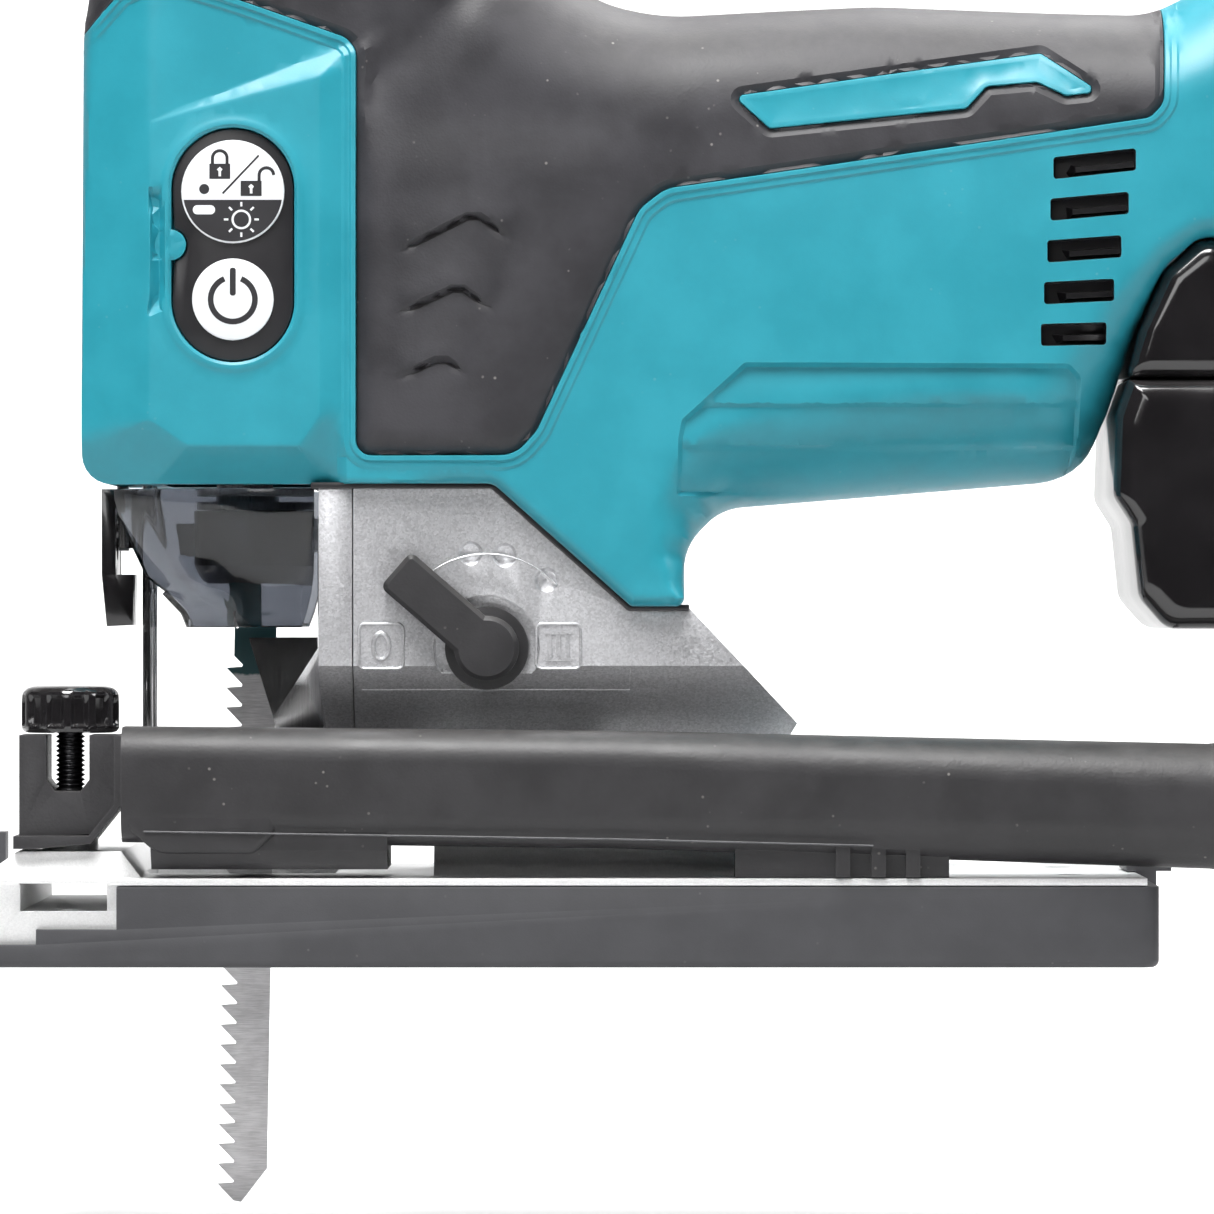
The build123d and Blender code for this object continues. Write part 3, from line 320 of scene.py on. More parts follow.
@dataclass(frozen=True)
class Moulded:
    """A moulded plastic or rubber finish, with grain, wear, mottle and dust."""

    name: str
    colour: Rgb
    roughness: float
    grain: float = 0.4
    depth: float = 0.02
    tone: float = 0.12
    wear: float = 0.35
    wear_colour: Rgb = (0.5, 0.5, 0.5)
    specks: float = 0.25
    veil: float = 0.12
    dust_colour: Rgb = (0.55, 0.52, 0.48)
    coat: float = 0.0
    metallic: float = 0.0
    specular: float = 0.5

    def material(self) -> bpy.types.Material:
        """Builds the finish's material."""
        material, w, shader = start_material(self.name)
        grain = w.add("ShaderNodeGroup", node_tree=Effects.grain())
        grain.inputs["Size"].default_value = self.grain
        wear = w.add("ShaderNodeGroup", node_tree=Effects.wear())
        wear.inputs["Width"].default_value = 0.5
        wear.inputs["Break"].default_value = 0.2
        dust = w.add("ShaderNodeGroup", node_tree=Effects.dust())
        dust.inputs["Specks"].default_value = self.specks
        dust.inputs["Veil"].default_value = self.veil
        dark = tuple(c * (1.0 - self.tone) for c in self.colour)
        light = tuple(min(c * (1.0 + self.tone) + 0.004 * self.tone, 1.0) for c in self.colour)
        mottle = w.span(grain.outputs["Mottle"], 0.3, 0.7)
        colour = w.blend(mottle, dark, light)
        worn = w.maths("MULTIPLY", wear.outputs["Mask"], self.wear)
        colour = w.blend(worn, colour, self.wear_colour)
        colour = w.blend(dust.outputs["Mask"], colour, self.dust_colour)
        w.link(colour, shader.inputs["Base Color"])
        rough = w.maths("MULTIPLY_ADD", mottle, 0.08, self.roughness - 0.04)
        rough = w.maths("MULTIPLY_ADD", dust.outputs["Mask"], 0.3, rough, clamp=True)
        w.link(rough, shader.inputs["Roughness"])
        bump = w.add("ShaderNodeBump")
        bump.inputs["Strength"].default_value = 0.6
        bump.inputs["Distance"].default_value = self.depth * MM
        w.link(grain.outputs["Height"], bump.inputs["Height"])
        w.link(bump.outputs[0], shader.inputs["Normal"])
        shader.inputs["Metallic"].default_value = self.metallic
        shader.inputs["Coat Weight"].default_value = self.coat
        shader.inputs["Coat Roughness"].default_value = 0.06
        shader.inputs["Specular IOR Level"].default_value = self.specular
        return material


@dataclass(frozen=True)
class Casting:
    """A cast metal with sparkling paint, or a bead-blasted bare casting."""

    name: str
    colour: Rgb
    roughness: float
    metallic: float
    flake: float = 0.3
    sparkle: float = 0.35
    depth: float = 0.03

    def material(self) -> bpy.types.Material:
        """Builds the finish's material."""
        material, w, shader = start_material(self.name)
        place = w.add("ShaderNodeTexCoord").outputs["Object"]
        cells = w.add("ShaderNodeTexVoronoi", feature="F1")
        w.link(place, cells.inputs["Vector"])
        cells.inputs["Scale"].default_value = 1000.0 / self.flake
        split = w.add("ShaderNodeSeparateColor")
        w.link(cells.outputs["Color"], split.inputs[0])
        broad = w.noise(place, 60.0, 4.0, 0.6)
        dark = tuple(c * (1.0 - self.sparkle) for c in self.colour)
        light = tuple(min(c * (1.0 + 0.5 * self.sparkle), 1.0) for c in self.colour)
        tone = w.maths("MULTIPLY_ADD", split.outputs[0], 0.75, w.maths("MULTIPLY", broad, 0.35))
        colour = w.blend(w.maths("MULTIPLY", tone, 1.0, clamp=True), dark, light)
        wear = w.add("ShaderNodeGroup", node_tree=Effects.wear())
        wear.inputs["Width"].default_value = 0.4
        wear.inputs["Break"].default_value = 0.3
        colour = w.blend(w.maths("MULTIPLY", wear.outputs["Mask"], 0.6), colour, (0.85, 0.85, 0.86))
        w.link(colour, shader.inputs["Base Color"])
        w.link(w.maths("MULTIPLY_ADD", split.outputs[1], 0.2, self.roughness - 0.1), shader.inputs["Roughness"])
        bump = w.add("ShaderNodeBump")
        bump.inputs["Strength"].default_value = 0.5
        bump.inputs["Distance"].default_value = self.depth * MM
        height = w.maths("MULTIPLY_ADD", split.outputs[2], 0.6, w.noise(place, 900.0, 3.0, 0.6))
        w.link(height, bump.inputs["Height"])
        w.link(bump.outputs[0], shader.inputs["Normal"])
        shader.inputs["Metallic"].default_value = self.metallic
        return material


@dataclass(frozen=True)
class Ground:
    """Ground or polished steel, with lines drawn out along one axis."""

    name: str
    colour: Rgb
    roughness: float
    stretch: Point3 = (4000.0, 4000.0, 120.0)
    depth: float = 0.01
    metallic: float = 1.0
    paint_above: float | None = None
    paint: Rgb = (0.02, 0.09, 0.10)

    def material(self) -> bpy.types.Material:
        """Builds the finish's material."""
        material, w, shader = start_material(self.name)
        lines = w.add("ShaderNodeGroup", node_tree=Effects.brushing())
        lines.inputs["Stretch"].default_value = self.stretch
        tone = w.maths("MULTIPLY_ADD", lines.outputs["Height"], 0.6, w.maths("MULTIPLY", lines.outputs["Tone"], 0.4))
        dark = tuple(c * 0.72 for c in self.colour)
        light = tuple(min(c * 1.22, 1.0) for c in self.colour)
        colour = w.blend(w.span(tone, 0.3, 0.7), dark, light)
        rough = w.maths("MULTIPLY_ADD", tone, 0.22, self.roughness - 0.11, clamp=True)
        shader.inputs["Metallic"].default_value = self.metallic
        if self.paint_above is not None:
            split = w.add("ShaderNodeSeparateXYZ")
            place = w.add("ShaderNodeTexCoord").outputs["Object"]
            w.link(place, split.inputs[0])
            ragged = w.maths("MULTIPLY_ADD", w.noise(place, 700.0, 4.0, 0.7), 1.2 * MM, split.outputs["Z"])
            painted = w.span(ragged, self.paint_above * MM, (self.paint_above + 0.5) * MM)
            colour = w.blend(painted, colour, self.paint)
            rough = w.maths("MULTIPLY_ADD", painted, 0.12, rough)
            w.link(w.maths("SUBTRACT", self.metallic, painted, clamp=True), shader.inputs["Metallic"])
        w.link(colour, shader.inputs["Base Color"])
        w.link(rough, shader.inputs["Roughness"])
        bump = w.add("ShaderNodeBump")
        bump.inputs["Strength"].default_value = 0.4
        bump.inputs["Distance"].default_value = self.depth * MM
        w.link(lines.outputs["Height"], bump.inputs["Height"])
        w.link(bump.outputs[0], shader.inputs["Normal"])
        return material


@dataclass(frozen=True)
class Clear:
    """Clear moulded plastic, a little smoked."""

    name: str
    colour: Rgb
    roughness: float = 0.04
    ior: float = 1.46

    def material(self) -> bpy.types.Material:
        """Builds the finish's material."""
        material, w, shader = start_material(self.name)
        place = w.add("ShaderNodeTexCoord").outputs["Object"]
        smear = w.span(w.noise(place, 120.0, 5.0, 0.65), 0.45, 0.75)
        w.link(w.blend(smear, self.colour, tuple(c * 0.9 for c in self.colour)), shader.inputs["Base Color"])
        w.link(w.maths("MULTIPLY_ADD", smear, 0.10, self.roughness), shader.inputs["Roughness"])
        bump = w.add("ShaderNodeBump")
        bump.inputs["Strength"].default_value = 0.15
        bump.inputs["Distance"].default_value = 0.05 * MM
        w.link(w.noise(place, 260.0, 2.0, 0.4), bump.inputs["Height"])
        w.link(bump.outputs[0], shader.inputs["Normal"])
        shader.inputs["Transmission Weight"].default_value = 1.0
        shader.inputs["IOR"].default_value = self.ior
        return material


class Palette:
    """Every finish of the saw, each made once when it is first asked for."""

    FINISHES = {
        "teal": Moulded("teal_abs", (0.019, 0.285, 0.365), 0.42, grain=0.35, depth=0.012, tone=0.06, wear=0.3,
                        wear_colour=(0.16, 0.55, 0.62), specks=0.10, veil=0.03),
        "rubber": Moulded("grip_elastomer", (0.036, 0.035, 0.040), 0.50, grain=0.42, depth=0.045, tone=0.22, wear=0.35,
                          wear_colour=(0.17, 0.17, 0.18), specks=0.45, veil=0.10, specular=0.42),
        "black": Moulded("nozzle_grained", (0.024, 0.023, 0.025), 0.46, grain=0.5, depth=0.05, tone=0.2, wear=0.3,
                         wear_colour=(0.14, 0.14, 0.145), specks=0.3, veil=0.12),
        "charcoal": Moulded("cover_moulded", (0.052, 0.052, 0.057), 0.46, grain=0.3, depth=0.02, tone=0.1, wear=0.4,
                            wear_colour=(0.2, 0.2, 0.21), specks=0.15, veil=0.08),
        "piano": Moulded("gloss_moulded", (0.012, 0.011, 0.012), 0.16, grain=2.0, depth=0.01, tone=0.15, wear=0.25,
                         wear_colour=(0.12, 0.12, 0.13), specks=0.10, veil=0.04, coat=0.6),
        "panel": Moulded("panel_foil", (0.022, 0.021, 0.023), 0.34, grain=0.3, depth=0.012, tone=0.12, wear=0.2,
                         wear_colour=(0.1, 0.1, 0.1), specks=0.08, veil=0.03),
        "ink_white": Moulded("print_white", (0.86, 0.88, 0.90), 0.30, grain=0.3, depth=0.006, tone=0.02, wear=0.0,
                             specks=0.03, veil=0.0),
        "ink_black": Moulded("print_black", (0.030, 0.029, 0.032), 0.32, grain=0.3, depth=0.006, tone=0.05, wear=0.0,
                             specks=0.03, veil=0.0),
        "board": Moulded("solder_mask", (0.012, 0.10, 0.045), 0.35, grain=0.8, depth=0.02, tone=0.15, wear=0.3,
                         wear_colour=(0.5, 0.35, 0.12)),
        "wrap": Moulded("cell_wrap", (0.05, 0.20, 0.10), 0.3, grain=1.0, depth=0.01, tone=0.08),
        "copper": Moulded("contact_plate", (0.72, 0.40, 0.22), 0.32, grain=0.5, depth=0.01, metallic=1.0, wear=0.1),
        "silver": Casting("sparkle_paint", (0.66, 0.66, 0.68), 0.40, 0.70, flake=0.30, sparkle=0.26),
        "satin": Casting("blasted_alloy", (0.90, 0.90, 0.90), 0.42, 0.45, flake=0.22, sparkle=0.08, depth=0.02),
        "steel": Ground("machined_steel", (0.60, 0.60, 0.61), 0.30),
        "polished": Ground("polished_steel", (0.78, 0.78, 0.79), 0.14, depth=0.004),
        "blade": Ground("ground_blade", (0.62, 0.61, 0.62), 0.34, stretch=(300.0, 300.0, 5200.0), paint_above=46.0),
        "zinc": Ground("zinc_plate", (0.50, 0.50, 0.52), 0.32, stretch=(900.0, 900.0, 900.0)),
        "dark_steel": Ground("blackened_steel", (0.10, 0.10, 0.105), 0.36, stretch=(1500.0, 1500.0, 1500.0)),
        "bronze": Ground("sintered_bronze", (0.50, 0.33, 0.14), 0.45, stretch=(1500.0, 1500.0, 1500.0)),
        "laminate": Ground("stator_stack", (0.30, 0.30, 0.31), 0.4, stretch=(9000.0, 200.0, 200.0), depth=0.06),
        "smoked": Clear("smoked_clear", (0.36, 0.38, 0.42)),
        "clear": Clear("lamp_clear", (0.93, 0.95, 0.97)),
    }
    _made: dict[str, bpy.types.Material] = {}

    @classmethod
    def get(cls, name: str) -> bpy.types.Material:
        """Returns the material of a finish, by the finish's short name."""
        if name not in cls._made:
            cls._made[name] = cls.FINISHES[name].material()
        return cls._made[name]


# ------------------------------------------------------------------ mesh kit


@dataclass
class Shape:
    """A mesh in millimetres."""

    verts: list[Vector] = field(default_factory=list)
    faces: list[tuple[int, ...]] = field(default_factory=list)

    def __add__(self, other: Shape) -> Shape:
        """Joins two shapes into one."""
        offset = len(self.verts)
        moved = [tuple(i + offset for i in face) for face in other.faces]
        return Shape(self.verts + other.verts, self.faces + moved)

    def changed(self, change: Callable[[Vector], Vector]) -> Shape:
        """Returns the shape with a change made to every vertex."""
        return Shape([change(v) for v in self.verts], list(self.faces))

    def mirrored(self) -> Shape:
        """Returns the shape on the other side of y = 0, with its faces turned to match."""
        return Shape([Vector((v.x, -v.y, v.z)) for v in self.verts], [tuple(reversed(f)) for f in self.faces])


def loft(rings: Sequence[Sequence[Point3]], caps: bool = True, looped: bool = False) -> Shape:
    """Joins rings of equally many points.

    Args:
        rings: The rings, in order.
        caps: Whether the first and last ring are closed with a face.
        looped: Whether the last ring joins the first.

    Returns:
        The lofted shape.
    """
    count = len(rings[0])
    verts = [Vector(p) for ring in rings for p in ring]
    faces: list[tuple[int, ...]] = []
    spans = len(rings) if looped else len(rings) - 1
    for k in range(spans):
        a, b = k * count, ((k + 1) % len(rings)) * count
        for i in range(count):
            j = (i + 1) % count
            faces.append((a + i, a + j, b + j, b + i))
    if caps and not looped:
        faces.append(tuple(range(count - 1, -1, -1)))
        faces.append(tuple((len(rings) - 1) * count + i for i in range(count)))
    return Shape(verts, faces)


def rounded(corners: Sequence[tuple[float, float, float]], steps: int = 6) -> list[Point2]:
    """Rounds the corners of a closed outline.

    Args:
        corners: Each corner's two coordinates and its radius.
        steps: Steps in each arc.

    Returns:
        The points of the rounded outline.
    """
    points: list[Point2] = []
    count = len(corners)
    for i, (x, y, radius) in enumerate(corners):
        here = Vector((x, y))
        before = Vector(corners[i - 1][:2]) - here
        after = Vector(corners[(i + 1) % count][:2]) - here
        if radius <= 0:
            points.append((x, y))
            continue
        half = before.angle(after) / 2
        reach = min(radius / math.tan(half), before.length * 0.49, after.length * 0.49)
        start, end = here + before.normalized() * reach, here + after.normalized() * reach
        for k in range(steps + 1):
            t = k / steps
            weight = 1.0 / math.sin(half) if half else 1.0
            a, b, c = (1 - t) ** 2, 2 * t * (1 - t) * math.sin(half), t * t
            point = (start * a + here * b + end * c) / (a + b + c) if weight else here
            points.append((point.x, point.y))
    return points


def slab_y(points: Sequence[Point2], low: float, high: float) -> Shape:
    """A prism of (x, z) points between two values of y."""
    return loft([[(x, y, z) for x, z in points] for y in (low, high)])


def slab_z(points: Sequence[Point2], low: float, high: float) -> Shape:
    """A prism of (x, y) points between two values of z."""
    return loft([[(x, y, z) for x, y in points] for z in (low, high)])


def slab_x(points: Sequence[Point2], low: float, high: float) -> Shape:
    """A prism of (y, z) points between two values of x."""
    return loft([[(x, y, z) for y, z in points] for x in (low, high)])


def box(x0: float, x1: float, y0: float, y1: float, z0: float, z1: float) -> Shape:
    """A box from its limits, to be cut with or bevelled."""
    return slab_z([(x0, y0), (x1, y0), (x1, y1), (x0, y1)], z0, z1)


def turned(profile: Sequence[Point2], centre: Point3, axis: str = "Z", steps: int = 48) -> Shape:
    """A turned shape.

    Args:
        profile: Radius and height of each step, from one end to the other.
        centre: Where height 0 lies on the axis.
        axis: The axis's letter.
        steps: Steps round the axis.

    Returns:
        The shape, closed at both ends.
    """
    rings = []
    for radius, height in profile:
        ring = []
        for k in range(steps):
            a, b = radius * math.cos(math.tau * k / steps), radius * math.sin(math.tau * k / steps)
            local = {"X": (height, a, b), "Y": (b, height, a), "Z": (a, b, height)}[axis]
            ring.append(tuple(c + d for c, d in zip(centre, local)))
        rings.append(ring)
    return loft(rings)


def tube(path: Sequence[Point3], radius: float, sides: int = 12, looped: bool = False) -> Shape:
    """A round bar along a path.

    Args:
        path: Its centre line.
        radius: Its radius.
        sides: Sides of its section.
        looped: Whether the path closes on itself.

    Returns:
        The bar.
    """
    points = [Vector(p) for p in path]
    rings = []
    side = None
    for i, point in enumerate(points):
        ahead = points[(i + 1) % len(points)] if looped or i + 1 < len(points) else point
        behind = points[i - 1] if looped or i else point
        run = (ahead - behind).normalized()
        if side is None:
            side = run.orthogonal().normalized()
        side = (side - run * side.dot(run)).normalized()
        other = run.cross(side)
        turn = [math.tau * k / sides for k in range(sides)]
        rings.append([tuple(point + (side * math.cos(a) + other * math.sin(a)) * radius) for a in turn])
    return loft(rings, caps=not looped, looped=looped)


def arc(centre: Point2, radius: float, start: float, end: float, steps: int = 12) -> list[Point2]:
    """Points along an arc, between two angles in degrees."""
    angles = [math.radians(start + (end - start) * k / steps) for k in range(steps + 1)]
    return [(centre[0] + radius * math.cos(a), centre[1] + radius * math.sin(a)) for a in angles]


def mesh_object(shape: Shape, name: str) -> bpy.types.Object:
    """Makes an object from a shape, in metres, with its faces pointing outwards."""
    mesh = bpy.data.meshes.new(name)
    mesh.from_pydata([tuple(v * MM) for v in shape.verts], [], shape.faces)
    work = bmesh.new()
    work.from_mesh(mesh)
    bmesh.ops.remove_doubles(work, verts=work.verts, dist=0.002 * MM)
    bmesh.ops.dissolve_degenerate(work, edges=work.edges, dist=0.001 * MM)
    bmesh.ops.recalc_face_normals(work, faces=work.faces)
    work.to_mesh(mesh)
    work.free()
    piece = bpy.data.objects.new(name, mesh)
    bpy.context.scene.collection.objects.link(piece)
    return piece


def bake(piece: bpy.types.Object) -> None:
    """Turns a piece's modifiers into plain mesh."""
    graph = bpy.context.evaluated_depsgraph_get()
    mesh = bpy.data.meshes.new_from_object(piece.evaluated_get(graph), depsgraph=graph)
    piece.modifiers.clear()
    piece.data = mesh


def shade(piece: bpy.types.Object, angle: float = FINE_ANGLE) -> None:
    """Smooths a piece's shading, except across edges sharper than an angle."""
    piece.data.polygons.foreach_set("use_smooth", [True] * len(piece.data.polygons))
    piece.data.set_sharp_from_angle(angle=angle)


def soften(piece: bpy.types.Object, width: float, segments: int = 2, angle: float = 24.0) -> None:
    """Rounds a piece's edges by a width in millimetres."""
    bevel = piece.modifiers.new("edge", "BEVEL")
    bevel.width = width * MM
    bevel.segments = segments
    bevel.limit_method = "ANGLE"
    bevel.angle_limit = math.radians(angle)
    bevel.harden_normals = False
    bevel.use_clamp_overlap = True
    bevel.miter_outer = "MITER_ARC"
    bake(piece)


def carve(piece: bpy.types.Object, cutter: Shape, operation: str = "DIFFERENCE") -> None:
    """Cuts a shape out of a piece, or joins it to the piece."""
    tool = mesh_object(cutter, piece.name + "_tool")
    cut = piece.modifiers.new("cut", "BOOLEAN")
    cut.operation = operation
    cut.solver = "EXACT"
    cut.object = tool
    bake(piece)
    bpy.data.objects.remove(tool)


@dataclass
class Piece:
    """One finished piece and where it belongs."""

    name: str
    body: str
    slot: str
    finish: str
    replaces: tuple[str, ...] = ()

    def make(self, shape: Shape, edge: float = 0.0, segments: int = 2, cuts: Iterable[Shape] = ()) -> bpy.types.Object:
        """Builds and places the piece.

        Args:
            shape: Its mesh.
            edge: Width of its edge rounding, or 0 for none.
            segments: Steps in the rounding.
            cuts: Shapes cut out of it first.

        Returns:
            The finished object.
        """
        piece = mesh_object(shape, self.name)
        for cutter in cuts:
            carve(piece, cutter)
        if edge:
            soften(piece, edge, segments)
        return self.finish_off(piece)

    def make_open(self, shape: Shape, side: float) -> bpy.types.Object:
        """Builds a piece from an open surface whose outside faces one side of y = 0."""
        mesh = bpy.data.meshes.new(self.name)
        mesh.from_pydata([tuple(v * MM) for v in shape.verts], [], shape.faces)
        area = sum(p.normal.y * p.area for p in mesh.polygons)
        if area * side < 0:
            mesh.flip_normals()
        piece = bpy.data.objects.new(self.name, mesh)
        bpy.context.scene.collection.objects.link(piece)
        return self.finish_off(piece)

    def finish_off(self, piece: bpy.types.Object) -> bpy.types.Object:
        """Shades, dresses and places an object that is already built."""
        shade(piece)
        piece.data.materials.clear()
        piece.data.materials.append(Palette.get(self.finish))
        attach(piece, self.body)
        if self.replaces:
            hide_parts(*self.replaces)
        LOG.info("%s: %d faces", self.name, len(piece.data.polygons))
        return piece


def dress(frame: dict, finish: str, *nodes: str) -> None:
    """Gives CAD nodes a finish."""
    for node in nodes:
        data = frame["nodes"][node]
        for slot in data.material_slots:
            slot.link = "OBJECT"
            slot.material = Palette.get(finish)


def eased_copy(frame: dict, node: str, name: str, width: float, finish: str, slot: str, body: str, segments: int = 2) -> bpy.types.Object:
    """Stands a copy of a CAD node in its place, with its edges rounded.

    Args:
        frame: The loaded frame.
        node: The CAD node.
        name: Name of the copy.
        width: Width of the rounding in millimetres.
        finish: Short name of its finish.
        slot: Its material slot in the record. It is kept on the piece but not used.
        body: The body it rides on.
        segments: Steps in the rounding.

    Returns:
        The finished copy.
    """
    mesh = frame["nodes"][node].data.copy()
    work = bmesh.new()
    work.from_mesh(mesh)
    bmesh.ops.remove_doubles(work, verts=work.verts, dist=0.002 * MM)
    bmesh.ops.dissolve_limit(work, angle_limit=math.radians(0.6), verts=work.verts, edges=work.edges)
    work.to_mesh(mesh)
    work.free()
    mesh.materials.clear()
    piece = bpy.data.objects.new(name, mesh)
    bpy.context.scene.collection.objects.link(piece)
    soften(piece, width, segments)
    return Piece(name, body, slot, finish, (node,)).finish_off(piece)


# ------------------------------------------------------------------ surfaces over a plan


def resampled(line: Sequence[Point2], step: float, closed: bool = True) -> np.ndarray:
    """Adds points to a line, so that none of its edges is longer than a step."""
    ends = list(line) + ([line[0]] if closed else [])
    points: list[Point2] = []
    for (x0, z0), (x1, z1) in zip(ends, ends[1:]):
        count = max(1, math.ceil(math.hypot(x1 - x0, z1 - z0) / step))
        points += [(x0 + (x1 - x0) * k / count, z0 + (z1 - z0) * k / count) for k in range(count)]
    if not closed:
        points.append(tuple(ends[-1]))
    return np.array(points)


def shifted(line: np.ndarray, distance: float, closed: bool = True) -> np.ndarray:
    """Moves a line sideways: to its right by a positive distance."""
    if closed:
        ahead, behind = np.roll(line, -1, axis=0), np.roll(line, 1, axis=0)
    else:
        ahead, behind = np.vstack([line[1:], line[-1:]]), np.vstack([line[:1], line[:-1]])
    run = ahead - behind
    run /= np.maximum(np.linalg.norm(run, axis=1, keepdims=True), 1e-9)
    return line + distance * np.column_stack([run[:, 1], -run[:, 0]])


def gap(points: np.ndarray, line: np.ndarray, closed: bool = True) -> np.ndarray:
    """Distance from each point to a line."""
    starts = line if closed else line[:-1]
    runs = (np.roll(line, -1, axis=0) if closed else line[1:]) - starts
    best = np.full(len(points), 1e9)
    squares = np.maximum((runs**2).sum(axis=1), 1e-12)
    for start, run, square in zip(starts, runs, squares):
        away = points - start
        along = np.clip((away @ run) / square, 0.0, 1.0)
        best = np.minimum(best, ((away - along[:, None] * run) ** 2).sum(axis=1))
    return np.sqrt(best)


def within(points: np.ndarray, line: np.ndarray) -> np.ndarray:
    """Tells which points lie inside a closed line."""
    result = np.zeros(len(points), dtype=bool)
    for (x0, z0), (x1, z1) in zip(line, np.roll(line, -1, axis=0)):
        if z0 == z1:
            continue
        spans = (points[:, 1] > min(z0, z1)) & (points[:, 1] <= max(z0, z1))
        crossing = x0 + (points[:, 1] - z0) * (x1 - x0) / (z1 - z0)
        result ^= spans & (points[:, 0] < crossing)
    return result


def edge_distance(points: np.ndarray, line: np.ndarray) -> np.ndarray:
    """Distance from each point to a closed line, negative inside it."""
    away = gap(points, line)
    return np.where(within(points, line), -away, away)


def ramp(value: np.ndarray, low: float, high: float) -> np.ndarray:
    """Rises smoothly from 0 at one value to 1 at another."""
    t = np.clip((value - low) / (high - low), 0.0, 1.0)
    return t * t * (3.0 - 2.0 * t)


def lowest(*heights: np.ndarray, blend: float = 0.22) -> np.ndarray:
    """The lowest of several heights, with the creases between them eased."""
    result = heights[0]
    for other in heights[1:]:
        mix = np.clip(0.5 + 0.5 * (other - result) / blend, 0.0, 1.0)
        result = other * (1 - mix) + result * mix - blend * mix * (1 - mix)
    return result


